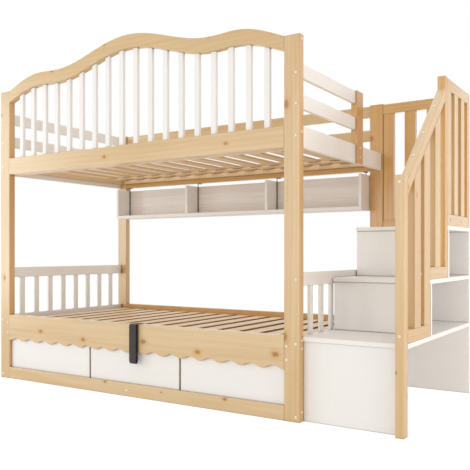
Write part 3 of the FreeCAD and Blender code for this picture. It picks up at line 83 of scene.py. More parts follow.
class BED_PG_timber(PropertyGroup):
    """Colours of the timber."""
    pine_early: colour("Early wood", "Pale wood of the lacquered pine", 226, 203, 163)
    pine_late: colour("Late wood", "Year rings of the lacquered pine", 203, 167, 118)
    # The deep colours are a redder copy of the pine, painted shade for boards that stand in shade, most of
    # them at the back
    shade_deep_early: colour("Deep early wood", "Pale wood of the boards deepened as painted shade", 226, 190, 132)
    shade_deep_late: colour("Deep late wood", "Year rings of the boards deepened as painted shade", 202, 151, 85)
    # The pale colours are a paler copy of the pine, painted light for the low front boards
    light_pale_early: colour("Pale early wood", "Pale wood of the low front boards, paled as painted light", 230, 209, 173)
    light_pale_late: colour("Pale late wood", "Year rings of the low front boards, paled as painted light", 208, 175, 129)
    knot_heart: colour("Knot", "Heart of a knot", 166, 114, 52)
    knot_halo: colour("Knot halo", "Wood that bends round a knot", 210, 163, 102)
    slat_early: colour("Slat early wood", "Pale wood of the bare planed slats", 246, 224, 190)
    slat_late: colour("Slat late wood", "Year rings of the bare planed slats", 229, 198, 155)
    # The five colours below are painted shade: each is multiplied onto the faces of some boards that look
    # along or across the bed
    pine_side_shade: colour("Pine side shade", "Painted shade on the side faces of the pine boards", 248, 234, 217)
    railing_side_shade: colour("Railing side shade", "Painted shade on the side faces of the stair railing", 239, 228, 200)
    gap_side_shade: colour("Railing gap shade", "Painted shade in the gaps between the slats of the railing", 235, 226, 212)
    upper_slat_side_shade: colour("Upper slat side shade", "Painted shade on the side faces of the upper slats", 222, 208, 190)
    lower_slat_side_shade: colour("Lower slat side shade", "Painted shade on the side faces of the lower slats", 172, 142, 110)
    paint: colour("White paint", "Painted boards and panels", 244, 244, 246)
    paint_shade: colour("Paint over grain", "Paint where the grain draws it thin", 238, 237, 235)
    paint_wash: colour("Washed grain", "Grain through the thin paint of the shelf's back", 216, 198, 180)
    seam: colour("Timber seam", "Shade in the seams between boards of pine", 128, 84, 44)
    paint_seam: colour("Painted seam", "Shade in the seams between painted boards", 160, 147, 136)
    ply_early: colour("Plywood face", "Bare sanded plywood", 222, 196, 158)
    ply_late: colour("Plywood grain", "Grain of the plywood", 204, 171, 128)
    # The box floor's colours are darkened plywood, painted shade for the closed box seen through the gaps
    box_floor_shade_early: colour("Box floor", "Brown plywood of the storage floor, darkened as painted shade in the closed box", 158, 128, 92)
    box_floor_shade_late: colour("Box floor grain", "Grain of the storage floor", 132, 102, 70)


class BED_PG_fittings(PropertyGroup):
    """Colours and sizes of the fittings."""
    cap: colour("Cover cap", "Plastic caps over the bolt heads", 243, 228, 203)
    black_steel: colour("Black steel", "Powder coat of the hangers and strut cylinders", 52, 50, 50)
    zinc: colour("Zinc", "Plated hinges, pins and screws", 186, 188, 190)
    bright: colour("Bright steel", "Ground rods of the struts", 214, 215, 217)
    # The hollows colour is painted shade between the yarns of the webbing
    webbing: colour("Webbing", "Woven strap that lifts the base", 76, 72, 73)
    webbing_hollow_shade: colour("Webbing hollows", "Painted shade in the gaps between the yarns of the strap", 46, 43, 45)
    thread: colour("Thread", "Sewing thread of the strap", 58, 58, 62)
    strap_thickness: length("Strap thickness", "Thickness of the webbing", 0.0023)
    strap_bend: length("Strap bend", "Radius of the strap over the edges of the rail", 0.005)
    stitch_length: length("Stitch length", "Length of one stitch of the strap", 0.0042)
    screw_radius: length("Screw head", "Radius of the heads of the slat screws", 0.0042)
    upper_slats: IntProperty(name="Upper slats", description="Slats of the upper bunk", default=15)
    lower_slats: IntProperty(name="Lower slats", description="Slats of the lower bunk", default=15)
    upper_slat_width: length("Upper slat width", "Width of an upper slat", 0.073)
    lower_slat_width: length("Lower slat width", "Width of a lower slat", 0.086)


class BED_PG_stage(PropertyGroup):
    """Studio light, floor and camera."""
    floor: colour("Floor", "Pale studio floor", 240, 239, 237)
    room: colour("Room light", "Warm light from all round", 255, 248, 240)
    room_level: amount("Room level", "Strength of the light from all round", 0.7)
    floor_level: amount("Floor level", "Light that the bright floor sends up", 0.08)
    front_lamp: amount("Front lamp", "Soft light in front of the bed", 74.0, "POWER")
    left_lamp: amount("Left lamp", "Soft light beyond the plain end", 43.0, "POWER")
    side_lamp: amount("Side lamp", "Soft light beside the stairs", 30.0, "POWER")
    top_lamp: amount("Top lamp", "Soft light above the bed", 56.0, "POWER")
    back_lamp: amount("Back lamp", "Soft light behind the bed", 70.0, "POWER")
    camera_place: FloatVectorProperty(name="Camera", description="Place of the camera", unit="LENGTH",
                                      subtype="TRANSLATION", default=(2.18875, -3.21985, 0.7683))
    camera_turn: FloatProperty(name="Camera turn", description="Turn of the level camera to the left",
                               subtype="ANGLE", unit="ROTATION", default=radians(32.92))
    focal_length: amount("Focal length", "Focal length on a 36 mm sensor", 50.97, "CAMERA")
    rise: FloatProperty(name="Lens rise", description="Upward shift of the lens", default=0.0386)


# How nodes are laid out in the editor
NODES_IN_ROW = 12
NODE_STEP = (180, -220)


def fill(tree, sockets, values):
    """Set each named socket to a value, or join it to another socket."""
    for key, value in values.items():
        if isinstance(value, bpy.types.NodeSocket):
            tree.links.new(value, sockets[key])
        else:
            sockets[key].default_value = value


def add(tree, kind, inputs=None, **settings):
    """A shader node with its settings and with its inputs filled."""
    node = tree.nodes.new("ShaderNode" + kind)
    row, column = divmod(len(tree.nodes), NODES_IN_ROW)
    node.location = (NODE_STEP[0] * column, NODE_STEP[1] * row)
    for name, value in settings.items():
        setattr(node, name, value)
    fill(tree, node.inputs, inputs or {})
    return node


def maths(tree, operation, *values, clamp=False):
    node = add(tree, "Math", dict(enumerate(values)), operation=operation, use_clamp=clamp)
    return node.outputs["Value"]


def summed(tree, start, *shares):
    """A start value plus a share of each of some values; the sum is held between nought and one."""
    for count, (value, share) in enumerate(shares, 1):
        start = maths(tree, "MULTIPLY_ADD", value, share, start, clamp=count == len(shares))
    return start


def vectors(tree, operation, *values):
    node = add(tree, "VectorMath", dict(enumerate(values)), operation=operation)
    return node.outputs["Value" if operation in ("LENGTH", "DOT_PRODUCT") else "Vector"]


def spread(tree, value, low, high, to_low=0.0, to_high=1.0):
    """A value eased from one range into another, and held at its ends."""
    inputs = {"Value": value, "From Min": low, "From Max": high, "To Min": to_low, "To Max": to_high}
    return add(tree, "MapRange", inputs, interpolation_type="SMOOTHSTEP").outputs["Result"]


def mixed(tree, factor, first, second, blend="MIX"):
    """A mix of two colours, which are sockets 6 and 7 of the node; socket 2 gives the mixed colour."""
    node = add(tree, "Mix", {0: factor, 6: first, 7: second}, data_type="RGBA", blend_type=blend)
    return node.outputs[2]


def shaded(tint, share):
    """A darker shade of a colour: a share of each of its levels."""
    return (*(share * level for level in tint[:3]), 1.0)


def noise(tree, vector, scale, detail=2.0, roughness=0.5):
    """The outputs of a noise of one scale, or of a scale for each axis."""
    if isinstance(scale, tuple):
        vector, scale = vectors(tree, "MULTIPLY", vector, scale), 1.0
    inputs = {"Vector": vector, "Scale": scale, "Detail": detail, "Roughness": roughness}
    return add(tree, "TexNoise", inputs).outputs


def object_place(tree):
    """Place on the bed."""
    return add(tree, "TexCoord").outputs["Object"]


def board_tone_effect(tree, given):
    """A random tone and shift for each board, told apart by the cell of a grid that it stands in."""
    counted = vectors(tree, "SUBTRACT", given["Vector"], given["Start"])
    snapped = vectors(tree, "SNAP", counted, given["Cell"])
    chance = add(tree, "TexWhiteNoise", {"Vector": snapped}, noise_dimensions="3D").outputs
    return {"Tone": chance["Value"], "Shift": chance["Color"]}


def pine_grain_effect(tree, given):
    """Year rings about a pith beside the board, fine fibres along it and slow changes of tone."""
    moved = vectors(tree, "MULTIPLY_ADD", given["Shift"], (9.0, 0.12, 0.12), given["Vector"])
    sway = vectors(tree, "SUBTRACT", noise(tree, moved, (1.1, 5.0, 5.0))["Color"], (0.5, 0.5, 0.5))
    bent = vectors(tree, "MULTIPLY_ADD", sway, (0.0, 0.05, 0.05), moved)
    pulled = add(tree, "CombineXYZ", {"Y": given["Bend"], "Z": given["Bend"]}).outputs["Vector"]
    about_pith = vectors(tree, "ADD", vectors(tree, "MULTIPLY", bent, (0.04, 1.0, 1.0)),
                         vectors(tree, "ADD", pulled, (0.0, 0.085, 0.055)))
    rings = add(tree, "TexWave",
                {"Vector": about_pith, "Scale": 13.0, "Distortion": 6.5, "Detail": 3.0, "Detail Scale": 1.1},
                wave_type="RINGS", rings_direction="X", wave_profile="SIN").outputs["Fac"]
    fibres = noise(tree, moved, (3.0, 130.0, 130.0), 5.0, 0.62)["Fac"]
    drift = noise(tree, moved, (0.9, 14.0, 14.0))["Fac"]
    tone = summed(tree, -0.42, (given["Tone"], 0.3), (rings, 0.13), (fibres, 0.75), (drift, 0.75))
    return {"Color": mixed(tree, tone, given["Early"], given["Late"]),
            "Roughness": spread(tree, fibres, 0.3, 0.7, 0.40, 0.52),
            "Height": summed(tree, 0.0, (rings, 0.3), (fibres, 0.7))}


def set_knot_effect(tree, given):
    """One knot at a chosen place: a heart with a ragged edge, and a halo of bent wood round it."""
    away = vectors(tree, "SUBTRACT", given["Vector"], given["Centre"])
    away = vectors(tree, "DIVIDE", away, given["Radii"])
    ragged = maths(tree, "MULTIPLY_ADD", noise(tree, given["Vector"], 95.0)["Fac"], 0.7, -0.35)
    distance = maths(tree, "ADD", vectors(tree, "LENGTH", away), ragged)
    return {"Heart": spread(tree, distance, 1.15, 0.45), "Halo": spread(tree, distance, 2.5, 0.9)}


def stray_knots_effect(tree, given):
    """Scattered knots: cells along the board, of which a share holds one knot each."""
    cell = (1.7, 11.0, 11.0)
    moved = vectors(tree, "MULTIPLY_ADD", given["Shift"], (5.0, 3.0, 3.0), given["Vector"])
    scaled = vectors(tree, "MULTIPLY", moved, cell)
    points = add(tree, "TexVoronoi", {"Vector": scaled, "Scale": 1.0}, voronoi_dimensions="3D",
                 feature="F1").outputs
    away = vectors(tree, "DIVIDE", vectors(tree, "SUBTRACT", scaled, points["Position"]), cell)
    chance = add(tree, "SeparateColor", {"Color": points["Color"]}).outputs
    radius = spread(tree, chance["Green"], 0.0, 1.0, 0.004, 0.010)
    squeezed = vectors(tree, "LENGTH", vectors(tree, "MULTIPLY", away, (0.6, 1.0, 1.0)))
    distance = maths(tree, "DIVIDE", squeezed, radius)
    kept = maths(tree, "LESS_THAN", chance["Red"], given["Share"])
    return {"Heart": maths(tree, "MULTIPLY", kept, spread(tree, distance, 1.1, 0.5)),
            "Halo": maths(tree, "MULTIPLY", kept, spread(tree, distance, 2.4, 0.9))}


def painted_grain_effect(tree, given):
    """Paint with the timber's fibres showing faintly through it and a soft roller texture."""
    moved = vectors(tree, "MULTIPLY_ADD", given["Shift"], (6.0, 1.0, 1.0), given["Vector"])
    fibres = noise(tree, moved, (3.0, 170.0, 170.0), 3.0)["Fac"]
    drift = noise(tree, moved, (1.5, 6.0, 6.0))["Fac"]
    roller = noise(tree, given["Vector"], 900.0)["Fac"]
    tone = summed(tree, -0.35, (given["Tone"], 0.3), (fibres, 0.7), (drift, 0.5))
    return {"Color": mixed(tree, tone, given["Paint"], given["Thin"]),
            "Roughness": spread(tree, roller, 0.3, 0.7, 0.36, 0.48),
            "Height": summed(tree, 0.0, (roller, 0.5), (fibres, 0.5))}


def painted_side_shade_effect(tree, given):
    """Painted shade: a deeper colour multiplied onto the faces that look one way or its opposite, for the
    shade on those sides.
    """
    normal = add(tree, "TexCoord").outputs["Normal"]
    along = maths(tree, "ABSOLUTE", vectors(tree, "DOT_PRODUCT", normal, given["Way"]))
    side_facing = spread(tree, along, 0.5, 0.9)
    return {"Color": mixed(tree, side_facing, given["Color"], given["Edge"], blend="MULTIPLY")}


def seam_shade_effect(tree, given):
    """Painted shade: a thin dark line in the seams and corners where boards meet, by how closed in they are.
    """
    reach, open_share, closed_share, depth = 0.009, 0.95, 0.4, 0.75
    around = add(tree, "AmbientOcclusion", {"Distance": reach}, samples=12).outputs["AO"]
    line = spread(tree, around, open_share, closed_share, 0.0, depth)
    return {"Color": mixed(tree, line, given["Color"], given["Line"])}


def speckle_effect(tree, given):
    """Fine grains and slow clouds, for metal, plastic and thread."""
    return {"Fine": noise(tree, given["Vector"], given["Grain"])["Fac"],
            "Cloud": noise(tree, given["Vector"], 22.0, 3.0)["Fac"]}


def weave_effect(tree, given):
    """Twill of the webbing: slanting ribs that turn at its middle, crossed by fine picks, with painted shade
    darkening the hollows between the yarns.
    """
    across = add(tree, "SeparateXYZ", {"Vector": given["UV"]}).outputs
    folded = maths(tree, "ABSOLUTE", across["X"])
    slant = maths(tree, "MULTIPLY_ADD", folded, 1.6, across["Y"])
    ribs, picks, yarns = (maths(tree, "SINE", maths(tree, "MULTIPLY", way, pitch))
                          for way, pitch in ((slant, 2200.0), (across["Y"], 4200.0), (across["X"], 2600.0)))
    height = summed(tree, 0.5, (picks, 0.12), (ribs, 0.26), (yarns, 0.12))
    fuzz = noise(tree, given["UV"], 420.0, 3.0)["Fac"]
    tone = summed(tree, 0.0, (height, 0.85), (fuzz, 0.35))
    # Painted shade: the colour darkens where the weave's height falls
    return {"Color": mixed(tree, tone, given["Hollow"], given["Yarn"]),
            "Roughness": spread(tree, height, 0.0, 1.0, 0.92, 0.74), "Height": height}


# Each shared effect: the function that makes its outputs, and its inputs
EFFECTS = {
    "Board tone": (board_tone_effect, "Vector", "Start", "Cell"),
    "Pine grain": (pine_grain_effect, "Vector", "Tone", "Shift", "Early", "Late", "Bend"),
    "Set knot": (set_knot_effect, "Vector", "Centre", "Radii"),
    "Stray knots": (stray_knots_effect, "Vector", "Shift", "Share"),
    "Painted grain": (painted_grain_effect, "Vector", "Tone", "Shift", "Paint", "Thin"),
    "Sawn edge": (painted_side_shade_effect, "Color", "Edge", "Way"),
    "Seam": (seam_shade_effect, "Color", "Line"),
    "Speckle": (speckle_effect, "Vector", "Grain"),
    "Weave": (weave_effect, "UV", "Yarn", "Hollow"),
}

# Kinds of their sockets; the others carry plain values
VECTORS = ("Vector", "Start", "Cell", "Shift", "Centre", "Radii", "Way", "UV")
COLOURS = ("Color", "Early", "Late", "Paint", "Thin", "Edge", "Line", "Yarn", "Hollow")
KINDS = {**dict.fromkeys(VECTORS, "NodeSocketVector"), **dict.fromkeys(COLOURS, "NodeSocketColor")}


def name_sockets(tree, side, labels):
    """Name the sockets on one side of a node group."""
    for label in labels:
        kind = KINDS.get(label, "NodeSocketFloat")
        tree.interface.new_socket(name=label, in_out=side, socket_type=kind)


def new_effect(name):
    """A shared effect as a node group."""
    make, *inputs = EFFECTS[name]
    tree = bpy.data.node_groups.new(name, "ShaderNodeTree")
    name_sockets(tree, "INPUT", inputs)
    outputs = make(tree, tree.nodes.new("NodeGroupInput").outputs)
    name_sockets(tree, "OUTPUT", outputs)
    fill(tree, tree.nodes.new("NodeGroupOutput").inputs, outputs)
    return tree


def placed(tree, name, inputs):
    """The outputs of an effect placed in a material; it is made the first time that it is asked for."""
    group = bpy.data.node_groups.get(name) or new_effect(name)
    return add(tree, "Group", inputs, node_tree=group).outputs


def empty_tree(owner):
    """The cleared node tree of a material or a world."""
    owner.use_nodes = True
    owner.node_tree.nodes.clear()
    return owner.node_tree


def new_material(name):
    """A material with only a surface shader: the material, its tree and the shader's inputs."""
    material = bpy.data.materials.new(name)
    tree = empty_tree(material)
    shader = add(tree, "BsdfPrincipled")
    add(tree, "OutputMaterial", {"Surface": shader.outputs["BSDF"]})
    return material, tree, shader.inputs


def relief(tree, height, strength, distance):
    """Relief from a height that changes over the surface."""
    inputs = {"Strength": strength, "Distance": distance, "Height": height}
    return add(tree, "Bump", inputs).outputs["Normal"]


# The grain's own axis first, for each way that it runs
ORDER = {"x": "XYZ", "y": "YXZ", "z": "ZXY"}

# A cell of boards begins a little outside the box of its node
CELL_MARGIN = 0.003

# How far the year rings go round a knot, and how strongly its halo and heart are coloured
KNOT_BEND, HALO_SHARE, HEART_SHARE = 0.012, 0.55, 0.85

# Clear lacquer over wood with little gloss of its own
LACQUER = {"Specular IOR Level": 0.1, "Coat Weight": 0.9, "Coat Roughness": 0.22}


def board(tree, node, grain, cell, slope=0.0):
    """Place on the bed, the same place along the grain, and the tone and shift of each board of a node."""
    place = turned = object_place(tree)
    if slope:
        turn = {"Vector": place, "Rotation": (-slope, 0.0, 0.0)}
        turned = add(tree, "Mapping", turn).outputs["Vector"]
    parts = add(tree, "SeparateXYZ", {"Vector": turned}).outputs
    order = {axis: parts[source] for axis, source in zip("XYZ", ORDER[grain])}
    along = add(tree, "CombineXYZ", order).outputs["Vector"]
    start = tuple(value - CELL_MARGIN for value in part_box(node)[0])
    return place, along, placed(tree, "Board tone", {"Vector": place, "Start": start, "Cell": cell})


def pine_material(node, grain, cell, early, late, finish, slope=0.0, share=0.14, edges=()):
    """Pine with year rings, knots at chosen places and a few stray ones, painted shade on the faces that
    look along given ways, and painted shade in its seams and corners.
    """
    timber = bpy.context.scene.bed_timber
    material, tree, shader = new_material(f"{finish} {node}".replace("_", " "))
    place, along, tone = board(tree, node, grain, cell, slope)
    stray = placed(tree, "Stray knots", {"Vector": along, "Shift": tone["Shift"], "Share": share})
    heart, halo = stray["Heart"], stray["Halo"]
    for centre, radii in set_knots(node, grain):
        knot = placed(tree, "Set knot", {"Vector": place, "Centre": centre, "Radii": radii})
        heart = maths(tree, "MAXIMUM", heart, knot["Heart"])
        halo = maths(tree, "MAXIMUM", halo, knot["Halo"])
    bend = maths(tree, "MULTIPLY", halo, KNOT_BEND)
    wood = placed(tree, "Pine grain", {"Vector": along, "Tone": tone["Tone"], "Shift": tone["Shift"],
                                       "Early": early, "Late": late, "Bend": bend})
    ringed = mixed(tree, maths(tree, "MULTIPLY", halo, HALO_SHARE), wood["Color"], timber.knot_halo)
    tinted = mixed(tree, maths(tree, "MULTIPLY", heart, HEART_SHARE), ringed, timber.knot_heart)
    # Painted shade multiplied onto the faces that look along each given way
    for way, depth in edges:
        tinted = placed(tree, "Sawn edge", {"Color": tinted, "Edge": depth, "Way": way})["Color"]
    # Painted shade in the seams and corners
    seam_shaded = placed(tree, "Seam", {"Color": tinted, "Line": timber.seam})["Color"]
    fill(tree, shader, {"Base Color": seam_shaded, "Roughness": wood["Roughness"],
                        "Normal": relief(tree, wood["Height"], strength=0.25, distance=0.0006)})
    if finish == "Lacquered":
        fill(tree, shader, LACQUER)
    return material


def white_material(node, grain, cell, thin):
    """White paint over timber, with the colour that it takes where the grain draws it thin, and painted
    shade in its seams and corners.
    """
    timber = bpy.context.scene.bed_timber
    material, tree, shader = new_material(f"White {node}".replace("_", " "))
    _, along, tone = board(tree, node, grain, cell)
    paint = placed(tree, "Painted grain", {"Vector": along, "Tone": tone["Tone"], "Shift": tone["Shift"],
                                           "Paint": timber.paint, "Thin": thin})
    # Painted shade in the seams and corners
    seam_shaded = placed(tree, "Seam", {"Color": paint["Color"], "Line": timber.paint_seam})["Color"]
    fill(tree, shader, {"Base Color": seam_shaded, "Roughness": paint["Roughness"], "Specular IOR Level": 0.3,
                        "Normal": relief(tree, paint["Height"], strength=0.2, distance=0.0004)})
    return material


def speckled_material(name, tint, metallic, rough, grain, depth, dark=0.72, gloss="Cloud"):
    """Steel or plastic: fine grains in the relief, clouds in the colour, and either of them in the gloss."""
    material, tree, shader = new_material(name)
    marks = placed(tree, "Speckle", {"Vector": object_place(tree), "Grain": grain})
    swing = 0.06
    fill(tree, shader, {"Base Color": mixed(tree, marks["Cloud"], shaded(tint, dark), tint),
                        "Roughness": spread(tree, marks[gloss], 0.3, 0.7, rough - swing, rough + swing),
                        "Metallic": metallic,
                        "Normal": relief(tree, marks["Fine"], strength=depth, distance=0.0002)})
    return material


def cover(material, *nodes):
    """Give nodes of the bed their material."""
    for node in nodes:
        for slot in NODES[node].material_slots:
            slot.material = material


# Faces that carry knots: the front, the front of the rear boards and the outside of the stair railing
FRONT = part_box("front_left_post")[0][1]
REAR_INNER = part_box("rear_left_post")[0][1]
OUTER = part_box("stair_newel")[1][0]

# Knots on faces that look to the front: place of the face, then x, height and size of each knot
FRONT_KNOTS = {
    "front_left_post": (FRONT, (-1.247, 0.616, 0.9), (-1.276, 1.624, 0.7)),
    "front_right_post": (FRONT, (0.731, 1.449, 1.2), (0.722, 0.384, 1.25)),
    "rear_left_post": (REAR_INNER, (-1.245, 0.634, 1.2), (-1.24, 0.375, 0.8)),
    "rear_right_post": (REAR_INNER, (0.731, 1.444, 1.0)),
    "upper_front_rail": (FRONT, (-0.406, 1.298, 0.8), (0.398, 1.30, 0.8)),
    "wavy_top_rail": (FRONT, (-0.824, 1.832, 0.7), (-0.406, 1.918, 0.7), (0.30, 1.838, 0.6)),
    "lower_front_rail": (FRONT, (-0.919, 0.305, 0.95), (-0.568, 0.281, 1.0), (-0.125, 0.302, 1.1),
                         (0.229, 0.275, 1.0), (0.674, 0.301, 1.2)),
    "front_floor_rail": (FRONT, (-0.40, 0.064, 0.7), (0.393, 0.06, 0.7), (-0.003, 0.048, 0.35)),
    "stair_newel": (FRONT, (1.247, 0.271, 0.4)),
}

# Half sizes of a front knot of size one, for each way of the grain
KNOT_SIZE = {"x": (0.018, 0.03, 0.012), "z": (0.013, 0.03, 0.020)}

# Knots on the outside of the stair railing: y, height, and half sizes along both
SIDE_KNOTS = {
    "stair_newel": [(-0.498, 0.172, 0.006, 0.012)],
    "sloping_handrail": [(-0.475, 1.045, 0.008, 0.012)],
    "sloping_rail_slats": [(-0.365, 1.021, 0.006, 0.014)],
    "stair_railing_rails": [(0.167, 0.933, 0.008, 0.011), (0.379, 0.934, 0.008, 0.006)],
}
SIDE_KNOT_DEPTH = 0.02


def set_knots(node, grain):
    """Centre and half sizes of each chosen knot of a node."""
    face, *places = FRONT_KNOTS.get(node, (FRONT,))
    front = [((x, face, z), tuple(size * half for half in KNOT_SIZE[grain])) for x, z, size in places]
    side = [((OUTER, y, z), (SIDE_KNOT_DEPTH, *halves)) for y, z, *halves in SIDE_KNOTS.get(node, ())]
    return front + side


# Longer than the bed, for axes along which a node's boards don't differ
FAR = 100.0


def cells(x=FAR, y=FAR, z=FAR):
    """Spacing of the like boards of a node along each axis."""
    return x, y, z


# Boards of lacquered pine, by the way of their grain, with the spacing of like boards
LACQUERED = {
    "x": {"upper_front_rail": cells(), "wavy_top_rail": cells(), "upper_rear_rail": cells(),
          "rear_guard_boards": cells(z=0.141), "lower_front_rail": cells(), "front_floor_rail": cells(),
          "lower_rear_rail": cells(), "rear_floor_rail": cells(), "rear_stair_rails": cells(z=0.3)},
    "y": {"sloping_handrail": cells(), "stair_railing_rails": cells(y=0.3, z=0.2)},
    "z": {"front_left_post": cells(), "front_right_post": cells(), "rear_left_post": cells(),
          "rear_right_post": cells(), "entry_post": cells(), "stair_newel": cells(),
          "upper_railing_posts": cells(y=0.35), "sloping_rail_slats": cells(y=0.14),
          "landing_slats": cells(y=0.129), "rear_stair_slats": cells(x=0.128)},
}

# Boards of bare pine
BARE = {
    "x": {"upper_slat_ledgers": cells(y=0.4), "base_frame": cells(y=0.2), "base_cleat": cells()},
    "y": {"upper_slats": cells(x=0.135), "lower_slats": cells(x=0.1295), "storage_bearers": cells(x=0.3)},
    "z": {"panel_stiles": cells(x=0.3)},
}

# Boards under white paint
WHITE = {
    "x": {"front_panels": cells(x=0.64), "shelf_floor": cells(), "shelf_back_boards": cells(z=0.07),
          "stair_treads": cells(z=0.2)},
    "y": {"end_guard_boards": cells(x=1.0, z=0.141), "upper_end_rails": cells(x=1.0),
          "end_floor_rails": cells(x=1.0), "head_top_rails": cells(x=1.0), "head_low_rails": cells(x=1.0)},
    "z": {"guard_spindles": cells(x=0.1015), "head_spindles": cells(x=1.0, y=0.1145),
          "shelf_uprights": cells(x=0.4), "stair_risers": cells(y=0.2), "stair_sides": cells(z=0.25),
          "stair_back": cells()},
}


def boards(finish):
    """Each node of a finish, the way of its grain and the spacing of its boards."""
    return [(node, grain, cell) for grain, nodes in finish.items() for node, cell in nodes.items()]


# Slope of the handrail from level, in radians
HANDRAIL_SLOPE = 0.732

# Boards given a redder copy of the pine as painted shade, most of them at the back
SHADE_DEEPENED = ("rear_right_post", "entry_post", "upper_rear_rail", "lower_rear_rail", "rear_stair_rails",
          "rear_stair_slats", "upper_railing_posts")

# Low front boards given a paler copy of the pine as painted light
LIGHT_PALED = ("lower_front_rail", "front_floor_rail")

# Ways that the faces with painted side shade look
ALONG_BED = (1.0, 0.0, 0.0)
ACROSS_BED = (0.0, 1.0, 0.0)

# Boards of the stair railing, painted deeper and yellower on their side faces as painted shade
RAILING = ("stair_newel", "upper_railing_posts", "sloping_handrail", "stair_railing_rails",
           "sloping_rail_slats", "landing_slats")

# Steel: colour, metal, roughness, fineness and depth of the grain, and the nodes that have it
STEEL = {
    "Powder coat": ("black_steel", 0.0, 0.5, 1400.0, 0.3,
                    ("shelf_hangers", "strut_left_cylinder", "strut_right_cylinder")),
    "Zinc plating": ("zinc", 1.0, 0.36, 800.0, 0.12,
                     ("hinge_fixed_leaves", "hinge_lifting_leaves", "hinge_pins", "strut_box_pins",
                      "strut_base_pins", "strap_staple", "frame_bolts")),
    "Bright steel": ("bright", 1.0, 0.16, 1600.0, 0.04, ("strut_left_rod", "strut_right_rod")),
}


class BED_OT_lacquered_pine(Operator):
    """Clear-lacquered pine on the posts, rails and railing"""
    bl_idname = "bed.lacquered_pine"
    bl_label = "Lacquered pine"

    def execute(self, context):
        timber = context.scene.bed_timber
        for node, grain, cell in boards(LACQUERED):
            slope = HANDRAIL_SLOPE if node == "sloping_handrail" else 0.0
            early, late = timber.pine_early, timber.pine_late
            # A redder copy of the pine as painted shade, or a paler one as painted light
            if node in SHADE_DEEPENED:
                early, late = timber.shade_deep_early, timber.shade_deep_late
            elif node in LIGHT_PALED:
                early, late = timber.light_pale_early, timber.light_pale_late
            # Painted shade on the faces that look along the bed, and also across it in the gaps of the
            # railing slats
            edges = [(ALONG_BED, timber.railing_side_shade if node in RAILING else timber.pine_side_shade)]
            if node in ("sloping_rail_slats", "landing_slats"):
                edges.append((ACROSS_BED, timber.gap_side_shade))
            cover(pine_material(node, grain, cell, early, late, "Lacquered", slope, edges=edges), node)
        return {"FINISHED"}


class BED_OT_bare_pine(Operator):
    """Bare planed pine on the slats, the lifting frame and the inner battens"""
    bl_idname = "bed.bare_pine"
    bl_label = "Bare pine"

    def execute(self, context):
        timber = context.scene.bed_timber
        # Painted shade on the side faces of the slats
        edges = {"upper_slats": [(ALONG_BED, timber.upper_slat_side_shade)],
                 "lower_slats": [(ALONG_BED, timber.lower_slat_side_shade)]}
        for node, grain, cell in boards(BARE):
            cover(pine_material(node, grain, cell, timber.slat_early, timber.slat_late, "Bare", share=0.22,
                                edges=edges.get(node, ())), node)
        return {"FINISHED"}


class BED_OT_white_paint(Operator):
    """White paint on the spindles, end boards, panels, shelf and stairs"""
    bl_idname = "bed.white_paint"
    bl_label = "White paint"

    def execute(self, context):
        timber = context.scene.bed_timber
        for node, grain, cell in boards(WHITE):
            thin = timber.paint_wash if node == "shelf_back_boards" else timber.paint_shade
            cover(white_material(node, grain, cell, thin), node)
        return {"FINISHED"}


class BED_OT_plywood(Operator):
    """Sanded plywood in the storage box"""
    bl_idname = "bed.plywood"
    bl_label = "Plywood"

    def execute(self, context):
        timber = context.scene.bed_timber
        # The storage floor is darkened plywood, painted shade in the closed box
        sheets = (("storage_floor", cells(), timber.box_floor_shade_early, timber.box_floor_shade_late),
                  ("storage_walls", cells(x=0.9), timber.ply_early, timber.ply_late))
        for node, cell, early, late in sheets:
            cover(pine_material(node, "x", cell, early, late, "Sanded", share=0.04), node)
        return {"FINISHED"}


class BED_OT_steel(Operator):
    """Powder coat, zinc plating and bright steel on the hangers, hinges, struts and bolts"""
    bl_idname = "bed.steel"
    bl_label = "Steel"

    def execute(self, context):
        fittings = context.scene.bed_fittings
        for name, (tint, metallic, rough, grain, depth, nodes) in STEEL.items():
            cover(speckled_material(name, getattr(fittings, tint), metallic, rough, grain, depth), *nodes)
        return {"FINISHED"}


class BED_OT_cover_caps(Operator):
    """Matt moulded plastic on the caps over the bolt heads"""
    bl_idname = "bed.cover_caps"
    bl_label = "Cover caps"

    def execute(self, context):
        tint = context.scene.bed_fittings.cap
        cover(speckled_material("Cap plastic", tint, metallic=0.0, rough=0.52, grain=1500.0, depth=0.15,
                                dark=0.93, gloss="Fine"), "bolt_caps")
        return {"FINISHED"}


def mesh_piece(name, vertices, faces, body, material):
    """A smooth mesh at the origin that rides on a body and takes the given material."""
    mesh = bpy.data.meshes.new(name)
    mesh.from_pydata(vertices.reshape(-1, 3).tolist(), [], faces)
    mesh.polygons.foreach_set("use_smooth", np.ones(len(mesh.polygons), dtype=bool))
    mesh.update()
    piece = bpy.data.objects.new(name, mesh)
    bpy.context.scene.collection.objects.link(piece)
    mesh.materials.append(material)
    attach(piece, body)
    return piece


def ring_quads(rings, points, copies):
    """Quads between closed rings of points, for each of some copies."""
    copy, ring, point = np.indices((copies, rings - 1, points))
    here = (copy * rings + ring) * points
    following = here + (point + 1) % points
    corners = [here + point, following, following + points, here + points + point]
    return np.stack(corners, axis=-1).reshape(-1, 4)


def tube_faces(rings, points, copies=1):
    """Quads between closed rings of points and one face over each end, for each of some copies."""
    first = rings * points * np.arange(copies)[:, None]
    foot = first + np.arange(points)[::-1]
    head = first + np.arange((rings - 1) * points, rings * points)
    return ring_quads(rings, points, copies).tolist() + foot.tolist() + head.tolist()


def arc(centre, radius, start, end, count=9):
    """Points (y, z) on an arc: its centre plus a radius turned from one angle to another, in degrees."""
    angle = np.radians(np.linspace(start, end, count))
    return np.array(centre) + radius * np.stack([np.cos(angle), np.sin(angle)], axis=-1)


